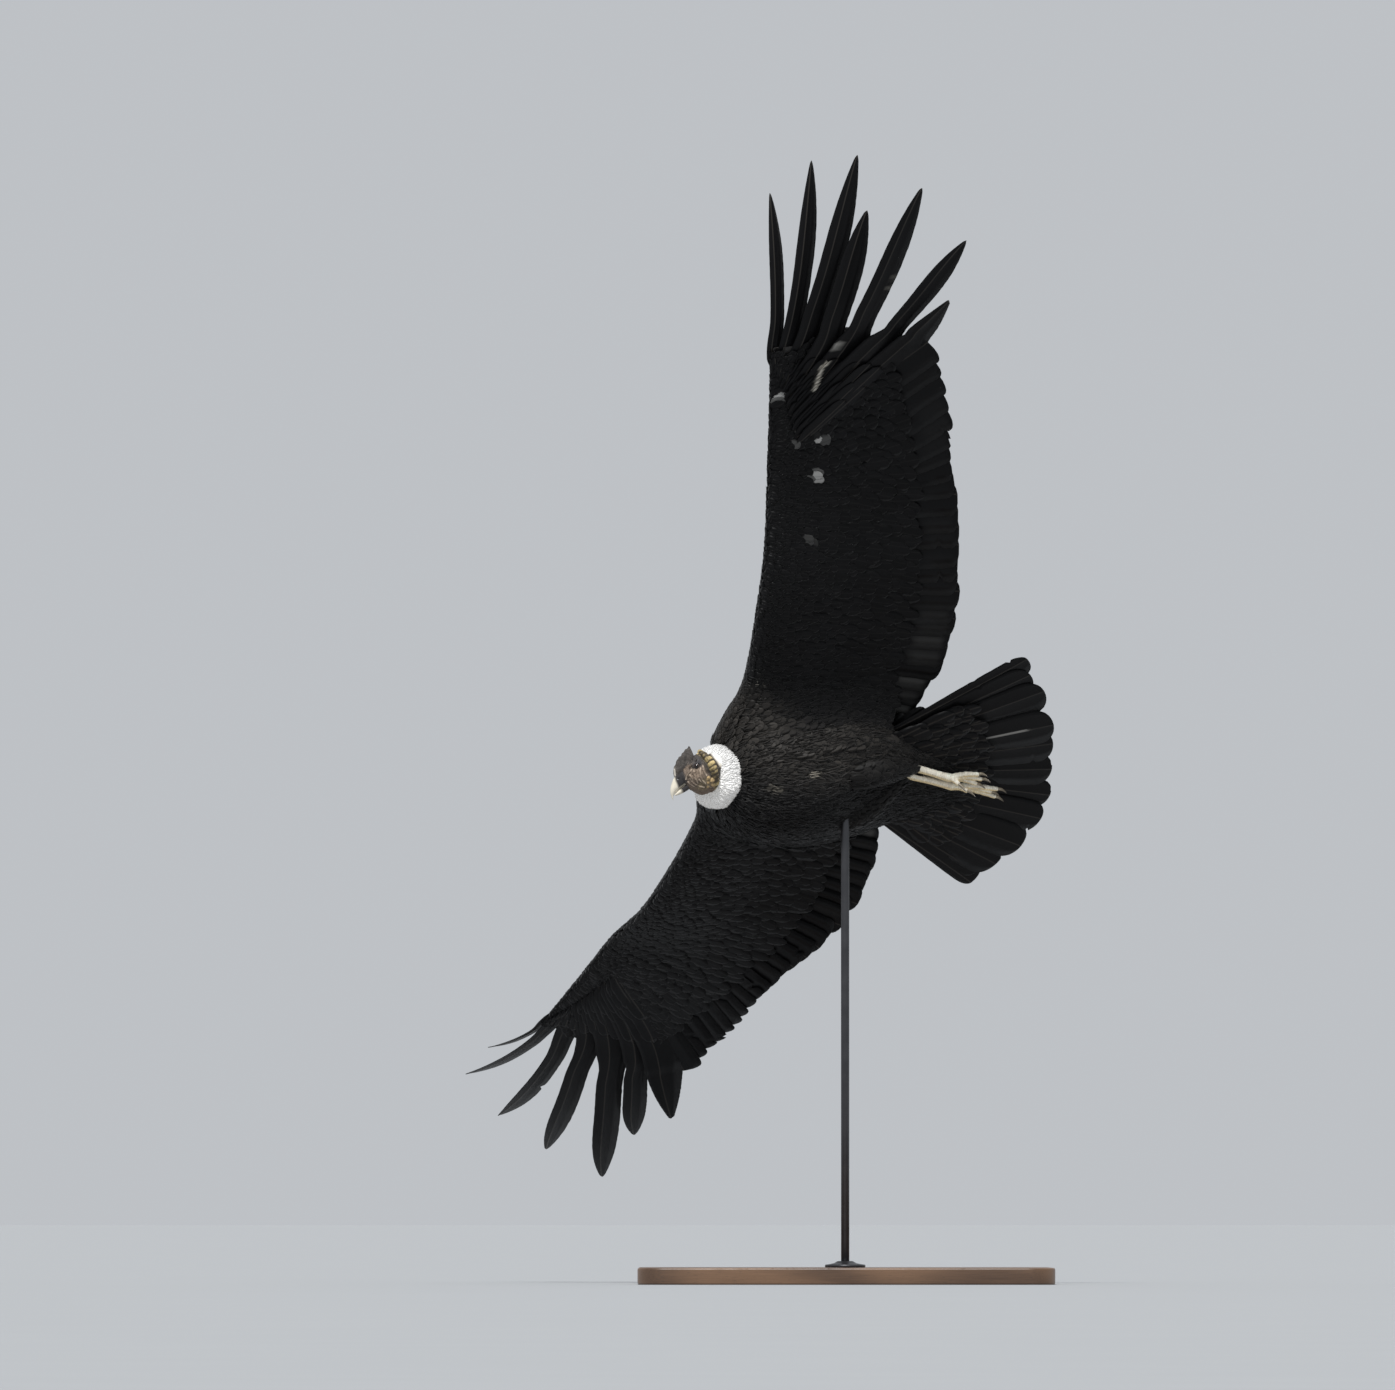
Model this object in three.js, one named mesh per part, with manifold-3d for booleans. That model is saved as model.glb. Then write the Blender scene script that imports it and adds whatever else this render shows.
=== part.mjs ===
// Andean condor, adult male, life size, gliding on a display stand with its left wing high.
// Millimetres, +Z up. The origin is the middle of the underside of the stand's base.
// The bird's own axes are x towards the bill, y to its left and z to its back, and their origin
// is midway between the shoulder joints. The head has axes of its own, with the origin between the eyes.

import * as THREE from 'three';
import { LoftGeometry } from 'three/addons/geometries/LoftGeometry.js';
import { mergeVertices } from 'three/addons/utils/BufferGeometryUtils.js';
import Module from 'manifold-3d';

const wasm = await Module();
wasm.setup();

const GAP = 0.3;
const SIDES = { left: 1, right: -1 };

// Where the bird hangs over the stand, and how it banks
const SHOULDER_PLACE = [-184.8, 0, 1112.5];
const HEADING_DEG = 201.1;
const NOSE_DOWN_DEG = 0.65;
const BANK_DEG = 44.8;

// Stand
const BASE_LENGTH = 900;
const BASE_WIDTH = 700;
const BASE_HEIGHT = 36;
const BASE_CORNER = 60;
const BASE_BEVEL = 4;
const ROD_RADIUS = 9;
const ROD_TOP = 1040;
const COLLAR_RADIUS = 44;
const COLLAR_HEIGHT = 14;

// Trunk, from the neck to the coverts under the tail: x, middle z, half width, height above and below
const TRUNK_STATIONS = [
  { x: 112, z: -30, half: 46, up: 30, down: 40 },
  { x: 102, z: -28, half: 76, up: 52, down: 70 },
  { x: 78, z: -26, half: 108, up: 72, down: 100 },
  { x: 36, z: -23, half: 136, up: 84, down: 126 },
  { x: -30, z: -20, half: 156, up: 84, down: 136 },
  { x: -100, z: -18, half: 168, up: 78, down: 132 },
  { x: -165, z: -16, half: 172, up: 68, down: 112 },
  { x: -215, z: -15, half: 168, up: 56, down: 92 },
  { x: -256, z: -16, half: 156, up: 46, down: 76 },
];
const RUMP_STATIONS = [
  { x: -256, z: -16, half: 156, up: 46, down: 76 },
  { x: -300, z: -23, half: 132, up: 36, down: 52 },
  { x: -345, z: -31, half: 108, up: 24, down: 37 },
  { x: -400, z: -40, half: 84, up: 13, down: 23 },
  { x: -448, z: -47, half: 54, up: 6, down: 9 },
];
const TRUNK_SIDES = 20;
const BACK_PINCH = 0.25;
const BELLY_PINCH = 0.1;

// Neck and the downy ruff round its base
const NECK_PATH = [[90, 8, -36], [122, 28, -46], [138, 54, -50], [150, 78, -52]];
const NECK_RADIUS = 33;
const NECK_SIDES = 12;
const RUFF_CENTRE = [121, 29, -45];
const RUFF_AXIS = [0.926, 0.256, -0.264];
const RUFF_RING_RADIUS = 44;
const RUFF_TUBE = { radial: 31, axial: 27 };
const RUFF_SEGMENTS = { round: 16, across: 8 };

// Head: where the middle of the eyes is, in the bird's axes, and how the head is turned
const HEAD_PLACE = [175, 62, -45];
const HEAD_YAW_DEG = -39;
const HEAD_PITCH_DEG = 10;
const HEAD_ROLL_DEG = -43.3;
const SKULL_STATIONS = [
  { x: 42, z: -6, half: 13, up: 15, down: 28 },
  { x: 30, z: -7, half: 18, up: 19, down: 48 },
  { x: 12, z: -9, half: 26, up: 26, down: 54 },
  { x: -8, z: -11, half: 29, up: 28, down: 53 },
  { x: -28, z: -15, half: 27, up: 26, down: 45 },
  { x: -42, z: -20, half: 19, up: 18, down: 29 },
  { x: -49, z: -24, half: 10, up: 9, down: 14 },
];
const EYE = { forward: 1, side: 21, height: 0, radius: 8.5 };
const COMB_OUTLINE = [[55, 6], [51, 14], [43, 22], [26, 30], [8, 36], [-8, 40], [-9, 31], [-2, 14], [28, 6]];
const COMB_THICKNESS = 9;
const UPPER_BILL_STATIONS = [
  { x: 34, top: 12, bottom: -16, half: 15 },
  { x: 46, top: 10.5, bottom: -17.5, half: 12.5 },
  { x: 57, top: 7, bottom: -19, half: 10.5 },
  { x: 66, top: 1.5, bottom: -20, half: 9 },
  { x: 74, top: -5, bottom: -21.5, half: 7 },
  { x: 80.5, top: -13, bottom: -25, half: 4.6 },
  { x: 84, top: -21, bottom: -29.5, half: 2.6 },
  { x: 85.5, top: -29, bottom: -32, half: 1 },
];
const LOWER_BILL_STATIONS = [
  { x: 34, top: -16.4, bottom: -31, half: 12 },
  { x: 48, top: -18, bottom: -31.5, half: 10 },
  { x: 60, top: -19.5, bottom: -30.5, half: 8 },
  { x: 70, top: -21.2, bottom: -28.5, half: 5.5 },
  { x: 76, top: -23, bottom: -26.5, half: 3 },
];

// Wings: x and z of the leading and the trailing edge at each distance out from the midline
const WING_LEAD = [
  { out: 60, x: 118, z: 34 },
  { out: 120, x: 102, z: 46 },
  { out: 190, x: 81, z: 57 },
  { out: 270, x: 79, z: 71 },
  { out: 390, x: 90, z: 86 },
  { out: 540, x: 101, z: 123 },
  { out: 690, x: 116, z: 188 },
  { out: 800, x: 136, z: 210 },
  { out: 940, x: 163, z: 236 },
  { out: 1024, x: 181, z: 252 },
];
const WING_TRAIL = {
  left: [
    { out: 60, x: -250, z: -12 },
    { out: 120, x: -275, z: -4 },
    { out: 190, x: -303, z: -2 },
    { out: 270, x: -322, z: 0 },
    { out: 390, x: -340, z: 9 },
    { out: 540, x: -320, z: 22 },
    { out: 690, x: -293, z: 57 },
    { out: 820, x: -260, z: 98 },
    { out: 985, x: -208, z: 156 },
    { out: 1112, x: -154, z: 186 },
  ],
  right: [
    { out: 60, x: -310, z: -12 },
    { out: 120, x: -334, z: -4 },
    { out: 190, x: -322, z: -2 },
    { out: 270, x: -338, z: 0 },
    { out: 390, x: -343, z: 9 },
    { out: 540, x: -304, z: 22 },
    { out: 690, x: -247, z: 57 },
    { out: 820, x: -224, z: 98 },
    { out: 985, x: -205, z: 156 },
    { out: 1112, x: -173, z: 186 },
  ],
};
const ELBOW_STATION = 4;
const WRIST_STATION = 6;
const ARM_THICKNESS = [66, 62, 56, 50, 42, 36, 30, 22, 13, 8];
const CHORD_SHARES = [0, 0.06, 0.2, 0.42, 0.72, 1];
const FEATHER_SHEET = 4;
const WING_CAMBER = 0.035;
const SCALLOP_DEPTH = 7;
const SCALLOPS_PER_STATION = [1, 1, 2, 2, 3, 2, 2, 2, 2];

// Fingered primaries: the root on the edge of the hand and the tip, in the bird's axes with y outward,
// the widths at root and middle, and how far the shaft sags below the straight line between its ends
const FINGERS = {
  left: [
    { name: 'p10', root: [170, 1018, 250], tip: [195, 1283, 451], rootWidth: 30, width: 27, sag: 26 },
    { name: 'p09', root: [142, 1024, 246], tip: [128, 1383, 445], rootWidth: 36, width: 37, sag: 34 },
    { name: 'p08', root: [108, 1030, 240], tip: [54, 1446, 393], rootWidth: 46, width: 39, sag: 32 },
    { name: 'p07', root: [64, 1050, 226], tip: [26, 1351, 322], rootWidth: 56, width: 38, sag: 20 },
    { name: 'p06', root: [12, 1068, 216], tip: [-54, 1463, 270], rootWidth: 78, width: 44, sag: 20 },
    { name: 'p05', root: [-52, 1082, 204], tip: [-178, 1346, 235], rootWidth: 84, width: 46, sag: 12 },
    { name: 'p04', root: [-112, 1092, 194], tip: [-160, 1217, 185], rootWidth: 74, width: 46, sag: 4 },
  ],
  right: [
    { name: 'p10', root: [172, 1012, 250], tip: [181, 1284, 451], rootWidth: 28, width: 22, sag: 30 },
    { name: 'p09', root: [158, 1020, 246], tip: [216, 1362, 445], rootWidth: 36, width: 34, sag: 40 },
    { name: 'p08', root: [118, 1030, 240], tip: [132, 1443, 393], rootWidth: 52, width: 38, sag: 34 },
    { name: 'p07', root: [62, 1050, 226], tip: [23, 1483, 325], rootWidth: 56, width: 44, sag: 24 },
    { name: 'p06', root: [0, 1068, 216], tip: [-105, 1517, 270], rootWidth: 80, width: 48, sag: 20 },
    { name: 'p05', root: [-58, 1072, 204], tip: [-129, 1349, 235], rootWidth: 60, width: 42, sag: 12 },
    { name: 'p04', root: [-116, 1082, 194], tip: [-176, 1248, 185], rootWidth: 84, width: 50, sag: 4 },
  ],
};
const BLADE_MIDDLE_THICKNESS = 3.6;
const BLADE_EDGE_THICKNESS = 1.4;
const LEADING_VANE_SHARE = 0.36;

// Tail: a fan about its apex, with the direction of each rectrix's tip in degrees from the midline
const TAIL_APEX = [-114, 0, 1];
const TAIL_YAW_DEG = -4.8;
const TAIL_DROOP_DEG = 7.9;
const TAIL_INNER_RADIUS = 170;
const RECTRICES = [
  { angle: -36.2, reach: 526 },
  { angle: -33, reach: 512 },
  { angle: -28.8, reach: 534 },
  { angle: -21.8, reach: 556 },
  { angle: -10.5, reach: 556 },
  { angle: -3.5, reach: 548 },
  { angle: 2.5, reach: 535 },
  { angle: 14, reach: 538 },
  { angle: 20, reach: 541 },
  { angle: 31.5, reach: 546 },
  { angle: 36, reach: 535 },
  { angle: 40.2, reach: 555 },
];
const TAIL_EDGES_DEG = [-38.1, 42.9];
const RECTRIX_HALF_SPREAD_DEG = 4.6;
const RECTRIX_ROUNDING = 26;
const TAIL_STEPS = 46;
const TAIL_THICKNESS = 5;

// Legs, trailing under the tail: ankle, foot joint and tips of the toes, in the bird's axes
const LEGS = {
  left: {
    thigh: [[-150, 78, -98], [-225, 86, -88], [-292, 83, -58]],
    ankle: [-288, 80, -57],
    foot: [-404, 58, -80],
    toes: [[-472, 72, -99], [-462, 84, -96], [-464, 57, -98]],
    hallux: [-420, 59, -102],
  },
  right: {
    thigh: [[-150, -52, -98], [-225, -22, -92], [-298, 38, -62]],
    ankle: [-296, 43, -58],
    foot: [-420, 30, -77],
    toes: [[-520, 38, -95], [-508, 27, -92], [-521, 15, -95]],
    hallux: [-446, 38, -101],
  },
};
const THIGH_RADII = [34, 34, 13];
const SHANK_RADIUS = 12;
const TOE_RADIUS = 7;
const CLAW_LENGTH = 22;
const CLAW_RADIUS = 4;

// Colours
const BLACK_FEATHER = { color: 0x16161a, roughness: 0.75, metalness: 0 };
const WHITE_DOWN = { color: 0xf2efe6, roughness: 0.95, metalness: 0 };
const BARE_SKIN = { color: 0x6b4a3c, roughness: 0.6, metalness: 0 };
const COMB_SKIN = { color: 0x3c3431, roughness: 0.65, metalness: 0 };
const IVORY_HORN = { color: 0xe6dcc0, roughness: 0.4, metalness: 0 };
const EYE_BROWN = { color: 0x2a1610, roughness: 0.08, metalness: 0 };
const LEG_SKIN = { color: 0xd9cda8, roughness: 0.7, metalness: 0 };
const CLAW_HORN = { color: 0x2c2723, roughness: 0.4, metalness: 0 };
const STAND_WOOD = { color: 0x5b4636, roughness: 0.45, metalness: 0 };
const STAND_STEEL = { color: 0x2b2c2e, roughness: 0.4, metalness: 0.8 };

const vector = (point) => new THREE.Vector3(...point);
const mix = THREE.MathUtils.lerp;
const radians = THREE.MathUtils.degToRad;

// A closed solid from a geometry whose shared corners are merged first.
function solidOf(geometry) {
  const bare = new THREE.BufferGeometry();
  bare.setAttribute('position', geometry.getAttribute('position'));
  bare.setIndex(geometry.getIndex());
  const merged = mergeVertices(bare, 1e-4);
  const vertProperties = merged.getAttribute('position').array;
  const triVerts = new Uint32Array(merged.getIndex().array);
  return new wasm.Manifold(new wasm.Mesh({ numProp: 3, vertProperties, triVerts }));
}

// The geometry of a solid, keeping only its largest body, so that a cut leaves no crumbs.
function geometryOf(solid) {
  const bodies = solid.decompose();
  const largest = bodies.reduce((best, body) => (body.volume() > best.volume() ? body : best));
  const mesh = largest.getMesh();
  const geometry = new THREE.BufferGeometry();
  geometry.setAttribute('position', new THREE.BufferAttribute(new Float32Array(mesh.vertProperties), 3));
  geometry.setIndex(new THREE.BufferAttribute(new Uint32Array(mesh.triVerts), 1));
  geometry.computeVertexNormals();
  return geometry;
}

// The base solid with each tool taken away.
function cut(base, ...tools) {
  return tools.reduce((left, tool) => left.subtract(tool), base);
}

// The same geometry on the other side of the midline, with its faces turned to point out again.
function mirrored(geometry) {
  const twin = new THREE.BufferGeometry().copy(geometry).scale(1, -1, 1);
  const index = twin.getIndex();
  for (let i = 0; i < index.count; i += 3) {
    const second = index.getX(i + 1);
    index.setX(i + 1, index.getX(i + 2));
    index.setX(i + 2, second);
  }
  return twin;
}

function loft(sections) {
  return new LoftGeometry(sections, { capStart: true, capEnd: true });
}

// An oval ring round a centre, across the given direction, with its own height above and below.
// A pinch narrows it towards its top or bottom.
function oval(centre, direction, upright, { half, up, down, pinchUp = 0, pinchDown = 0 }, count, grow = 0) {
  const across = new THREE.Vector3().crossVectors(upright, direction).normalize();
  const upward = new THREE.Vector3().crossVectors(direction, across).normalize();
  return Array.from({ length: count }, (_, i) => {
    const angle = (2 * Math.PI * i) / count;
    const rise = Math.sin(angle);
    const height = rise > 0 ? up : down;
    const pinch = 1 - (rise > 0 ? pinchUp : pinchDown) * rise * rise;
    return centre.clone()
      .addScaledVector(across, (half * pinch + grow) * Math.cos(angle))
      .addScaledVector(upward, (height + grow) * rise);
  });
}

// A round tube along a smooth curve through the given points, with a radius at each of them.
function taperedTube(points, radii, count, steps, grow = 0, upright = new THREE.Vector3(0, 0, 1)) {
  const curve = new THREE.CatmullRomCurve3(points.map(vector));
  const rings = [];
  for (let i = 0; i <= steps; i++) {
    const share = i / steps;
    const place = share * (radii.length - 1);
    const before = Math.min(Math.floor(place), radii.length - 2);
    const radius = mix(radii[before], radii[before + 1], place - before);
    const sizes = { half: radius, up: radius, down: radius };
    rings.push(oval(curve.getPoint(share), curve.getTangent(share), upright, sizes, count, grow));
  }
  return loft(rings);
}

// Trunk and rump: ovals across the body, from front to back.
function bodyLoft(stations, grow = 0) {
  const backward = new THREE.Vector3(-1, 0, 0);
  const upright = new THREE.Vector3(0, 0, 1);
  const rings = stations.map((station, i) => {
    const end = i === 0 ? grow : i === stations.length - 1 ? -grow : 0;
    const sizes = { ...station, pinchUp: BACK_PINCH, pinchDown: BELLY_PINCH };
    return oval(vector([station.x + end, 0, station.z]), backward, upright, sizes, TRUNK_SIDES, grow);
  });
  return loft(rings);
}

const tailMatrix = new THREE.Matrix4()
  .makeRotationFromEuler(new THREE.Euler(0, radians(-TAIL_DROOP_DEG), radians(TAIL_YAW_DEG), 'ZYX'))
  .setPosition(...TAIL_APEX);

// How far the fan reaches at an angle: the longest of the rounded feather tips there.
function tailReach(angleDeg) {
  return Math.max(...RECTRICES.map(({ angle, reach }) => {
    const off = (angleDeg - angle) / RECTRIX_HALF_SPREAD_DEG;
    return reach - RECTRIX_ROUNDING * off * off;
  }));
}

// Tail: a thin fan of strips, each a flat ring from the inner radius to the tips.
function tailGeometry() {
  const rings = [];
  for (let i = 0; i <= TAIL_STEPS; i++) {
    const angle = mix(...TAIL_EDGES_DEG, i / TAIL_STEPS);
    const reach = tailReach(angle);
    const half = TAIL_THICKNESS / 2;
    const profile = [
      [TAIL_INNER_RADIUS, -half], [reach, -half / 3], [reach, half / 3], [TAIL_INNER_RADIUS, half],
    ];
    rings.push(profile.map(([radius, height]) => new THREE.Vector3(
      -radius * Math.cos(radians(angle)), radius * Math.sin(radians(angle)), height,
    )));
  }
  return loft(rings).applyMatrix4(tailMatrix);
}

const headMatrix = new THREE.Matrix4()
  .makeRotationFromEuler(new THREE.Euler(
    radians(HEAD_ROLL_DEG), radians(HEAD_PITCH_DEG), radians(HEAD_YAW_DEG), 'ZYX',
  ))
  .setPosition(...HEAD_PLACE);

function skullGeometry(grow = 0) {
  const backward = new THREE.Vector3(-1, 0, 0);
  const upright = new THREE.Vector3(0, 0, 1);
  const rings = SKULL_STATIONS.map((station, i) => {
    const end = i === 0 ? grow : i === SKULL_STATIONS.length - 1 ? -grow : 0;
    return oval(vector([station.x + end, 0, station.z]), backward, upright, station, 14, grow);
  });
  return loft(rings);
}

// A mandible: ovals between its top and bottom line, from the face to the tip.
function billGeometry(stations, grow = 0) {
  const forward = new THREE.Vector3(1, 0, 0);
  const upright = new THREE.Vector3(0, 0, 1);
  const rings = stations.map(({ x, top, bottom, half }) => {
    const reach = (top - bottom) / 2;
    const centre = vector([x, 0, (top + bottom) / 2]);
    return oval(centre, forward, upright, { half, up: reach, down: reach }, 10, grow);
  });
  return loft(rings);
}

function eyeGeometry(side, grow = 0) {
  return new THREE.SphereGeometry(EYE.radius + grow, 10, 7)
    .translate(EYE.forward, side * EYE.side, EYE.height);
}

// Comb: a fleshy plate on the midline, extruded sideways with rounded rims.
function combGeometry() {
  const outline = new THREE.Shape(
    new THREE.SplineCurve(COMB_OUTLINE.map(([x, z]) => new THREE.Vector2(x, z))).getPoints(18),
  );
  const bevel = COMB_THICKNESS / 3;
  const plate = new THREE.ExtrudeGeometry(outline, {
    depth: COMB_THICKNESS - 2 * bevel,
    bevelEnabled: true,
    bevelThickness: bevel,
    bevelSize: bevel / 2,
    bevelOffset: -bevel / 2,
    bevelSegments: 1,
    steps: 1,
  });
  return indexed(plate.translate(0, 0, bevel - COMB_THICKNESS / 2).rotateX(Math.PI / 2));
}

// An indexed copy with only the corners' places, as the solids need.
function indexed(geometry) {
  const bare = new THREE.BufferGeometry();
  bare.setAttribute('position', geometry.getAttribute('position'));
  if (geometry.getIndex()) {
    bare.setIndex(geometry.getIndex());
  }
  return mergeVertices(bare, 1e-4);
}

function neckGeometry(grow = 0) {
  const radii = [NECK_RADIUS, NECK_RADIUS, NECK_RADIUS - 2, NECK_RADIUS - 8];
  return taperedTube(NECK_PATH, radii, NECK_SIDES, 6, grow);
}

// Ruff: a plump ring of down about the neck's axis.
function ruffGeometry() {
  const profile = [];
  for (let i = 0; i <= RUFF_SEGMENTS.across; i++) {
    const angle = (2 * Math.PI * i) / RUFF_SEGMENTS.across;
    profile.push(new THREE.Vector2(
      RUFF_RING_RADIUS + RUFF_TUBE.radial * Math.cos(angle), RUFF_TUBE.axial * Math.sin(angle),
    ));
  }
  const turn = new THREE.Quaternion()
    .setFromUnitVectors(new THREE.Vector3(0, 1, 0), vector(RUFF_AXIS).normalize());
  const ring = indexed(new THREE.LatheGeometry(profile, RUFF_SEGMENTS.round));
  return ring.applyQuaternion(turn).translate(...RUFF_CENTRE);
}

// The smooth edge of a wing through its stations, as a function of the station number.
function wingEdge(stations) {
  const curve = new THREE.CatmullRomCurve3(stations.map(({ out, x, z }) => new THREE.Vector3(x, out, z)));
  return (place) => curve.getPoint(place / (stations.length - 1));
}

// One section of a wing: the underside from the leading edge back, then the top forward again.
// The arm swells near the leading edge, and behind it the section is a cambered sheet of feathers.
function wingSection(lead, trail, spanward, arm, grow) {
  const chord = trail.clone().sub(lead);
  const length = chord.length();
  const backward = chord.clone().normalize();
  const upward = new THREE.Vector3().crossVectors(spanward, backward).normalize();
  const point = (share, side) => {
    const swell = share < 0.5 ? Math.sin(Math.PI * Math.sqrt(share / 0.5)) : 0;
    const camber = WING_CAMBER * length * 4 * share * (1 - share);
    const sheet = FEATHER_SHEET * (1 - 0.5 * share) / 2;
    const height = camber + side * (sheet + grow + (arm / 2) * swell);
    return lead.clone()
      .addScaledVector(backward, share * length + grow * Math.sign(share - 0.5))
      .addScaledVector(upward, height);
  };
  return [
    ...CHORD_SHARES.map((share) => point(share, -1)),
    ...CHORD_SHARES.toReversed().map((share) => point(share, 1)),
  ];
}

// A stretch of the left-hand form of a wing between two stations, with a scalloped trailing edge.
function wingStretch(side, from, to, grow = 0) {
  const leadAt = wingEdge(WING_LEAD);
  const trailAt = wingEdge(WING_TRAIL[side]);
  const rings = [];
  for (let station = from; station < to; station++) {
    const steps = 2 * SCALLOPS_PER_STATION[station];
    for (let i = 0; i < steps; i++) {
      rings.push({ place: station + i / steps, notch: i % 2 === 0 });
    }
  }
  rings.push({ place: to, notch: true });
  const shift = (GAP / 2 - grow) / 120;
  rings[0].place += from === 0 ? 0 : shift;
  rings.at(-1).place -= to === WING_LEAD.length - 1 ? 0 : shift;
  return loft(rings.map(({ place, notch }) => {
    const lead = leadAt(place);
    const trail = trailAt(place);
    const spanward = leadAt(Math.min(place + 0.1, WING_LEAD.length - 1))
      .sub(leadAt(Math.max(place - 0.1, 0)));
    const backward = trail.clone().sub(lead).normalize();
    trail.addScaledVector(backward, notch ? -SCALLOP_DEPTH / 2 : SCALLOP_DEPTH / 2);
    const before = Math.min(Math.floor(place), ARM_THICKNESS.length - 2);
    const arm = mix(ARM_THICKNESS[before], ARM_THICKNESS[before + 1], place - before);
    return wingSection(lead, trail, spanward, arm, grow);
  }));
}

// A fingered primary in left-hand form: a flat blade along a sagging shaft, pointed at the tip.
function bladeGeometry(finger, grow = 0) {
  const root = vector(finger.root);
  const tip = vector(finger.tip);
  const sagging = root.clone().lerp(tip, 0.5).add(new THREE.Vector3(0, 0, -2 * finger.sag));
  const shaft = new THREE.QuadraticBezierCurve3(root, sagging, tip);
  const shares = [0, 0.12, 0.28, 0.48, 0.7, 0.86, 0.95, 1];
  return loft(shares.map((share) => {
    const centre = shaft.getPoint(share);
    const along = shaft.getTangent(share);
    const upward = new THREE.Vector3().crossVectors(new THREE.Vector3(1, 0, 0), along).normalize();
    const forward = new THREE.Vector3().crossVectors(along, upward);
    const narrowing = THREE.MathUtils.smoothstep(share, 0.05, 0.34);
    const point = Math.pow(Math.max(share - 0.45, 0) / 0.55, 2);
    const width = mix(finger.rootWidth, finger.width, narrowing) * (1 - 0.9 * point);
    const front = LEADING_VANE_SHARE * width + grow;
    const back = -(1 - LEADING_VANE_SHARE) * width - grow;
    const shrink = 1 - 0.5 * share;
    const middle = (BLADE_MIDDLE_THICKNESS * shrink) / 2 + grow;
    const edge = (BLADE_EDGE_THICKNESS * shrink) / 2 + grow;
    const corners = [[front, -edge], [0, -middle], [back, -edge], [back, edge], [0, middle], [front, edge]];
    return corners.map(([ahead, height]) => centre.clone()
      .addScaledVector(forward, ahead + (0.5 - LEADING_VANE_SHARE) * width)
      .addScaledVector(upward, height));
  }));
}

// A foot: three front toes and the short hind toe, joined at the foot's joint.
function footSolid(leg, grow = 0) {
  const joint = vector(leg.foot);
  const toes = [...leg.toes, leg.hallux].map((tip) => {
    const end = vector(tip);
    const bend = joint.clone().lerp(end, 0.5).add(new THREE.Vector3(0, 0, 5));
    const points = [joint.toArray(), bend.toArray(), end.toArray()];
    return solidOf(taperedTube(points, [TOE_RADIUS + 2, TOE_RADIUS, TOE_RADIUS - 2], 6, 3, grow));
  });
  return toes.reduce((whole, toe) => whole.add(toe));
}

// A claw: a short hooked cone that carries on from its toe and curls down.
function clawGeometry(leg, tip) {
  const end = vector(tip);
  const along = end.clone().sub(vector(leg.foot)).normalize();
  const middle = end.clone().addScaledVector(along, CLAW_LENGTH * 0.55).add(new THREE.Vector3(0, 0, -3));
  const point = end.clone().addScaledVector(along, CLAW_LENGTH * 0.9).add(new THREE.Vector3(0, 0, -11));
  return taperedTube([end.toArray(), middle.toArray(), point.toArray()], [CLAW_RADIUS, 3, 0.8], 6, 3);
}

function standBase() {
  const half = { x: BASE_LENGTH / 2 - BASE_BEVEL, y: BASE_WIDTH / 2 - BASE_BEVEL };
  const shape = new THREE.Shape();
  const corners = [[1, 1, 0], [-1, 1, 1], [-1, -1, 2], [1, -1, 3]];
  for (const [x, y, quarter] of corners) {
    const centre = [x * (half.x - BASE_CORNER), y * (half.y - BASE_CORNER)];
    const start = (quarter * Math.PI) / 2;
    shape.absarc(...centre, BASE_CORNER, start, start + Math.PI / 2, false);
  }
  shape.closePath();
  const slab = new THREE.ExtrudeGeometry(shape, {
    depth: BASE_HEIGHT - 2 * BASE_BEVEL,
    bevelEnabled: true,
    bevelThickness: BASE_BEVEL,
    bevelSize: BASE_BEVEL,
    bevelSegments: 1,
    curveSegments: 4,
    steps: 1,
  });
  return indexed(slab.translate(0, 0, BASE_BEVEL));
}

function rodGeometry(grow = 0) {
  const bottom = BASE_HEIGHT + GAP;
  const length = ROD_TOP - bottom;
  return indexed(new THREE.CylinderGeometry(ROD_RADIUS + grow, ROD_RADIUS + grow, length + 2 * grow, 16)
    .rotateX(Math.PI / 2)
    .translate(0, 0, bottom + length / 2));
}

function collarGeometry() {
  const bottom = BASE_HEIGHT + GAP;
  const top = bottom + COLLAR_HEIGHT;
  const bore = ROD_RADIUS + GAP;
  const profile = [
    [bore, bottom], [COLLAR_RADIUS, bottom], [COLLAR_RADIUS, bottom + COLLAR_HEIGHT * 0.4],
    [ROD_RADIUS * 2, top], [bore, top], [bore, bottom],
  ].map(([radius, height]) => new THREE.Vector2(radius, height));
  return indexed(new THREE.LatheGeometry(profile, 16).rotateX(Math.PI / 2));
}

function place(group, name, geometry, finish) {
  const mesh = new THREE.Mesh(geometry, new THREE.MeshStandardMaterial(finish));
  mesh.name = name;
  group.add(mesh);
}

const condor = new THREE.Group();
const bird = new THREE.Group();
bird.position.set(...SHOULDER_PLACE);
bird.rotation.set(radians(BANK_DEG), radians(NOSE_DOWN_DEG), radians(HEADING_DEG), 'ZYX');
bird.updateMatrix();
const head = new THREE.Group();
headMatrix.decompose(head.position, head.quaternion, head.scale);
bird.add(head);
condor.add(bird);

// Trunk, rump and tail
const rodInBird = solidOf(rodGeometry(GAP).applyMatrix4(bird.matrix.clone().invert()));
const trunk = solidOf(bodyLoft(TRUNK_STATIONS));
const trunkRoom = solidOf(bodyLoft(TRUNK_STATIONS, GAP));
const rumpRoom = solidOf(bodyLoft(RUMP_STATIONS, GAP));
const rump = solidOf(bodyLoft(RUMP_STATIONS)).subtract(trunkRoom);
place(bird, 'rump', geometryOf(rump), BLACK_FEATHER);
place(bird, 'tail', geometryOf(cut(solidOf(tailGeometry()), trunkRoom, rumpRoom)), BLACK_FEATHER);

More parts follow.
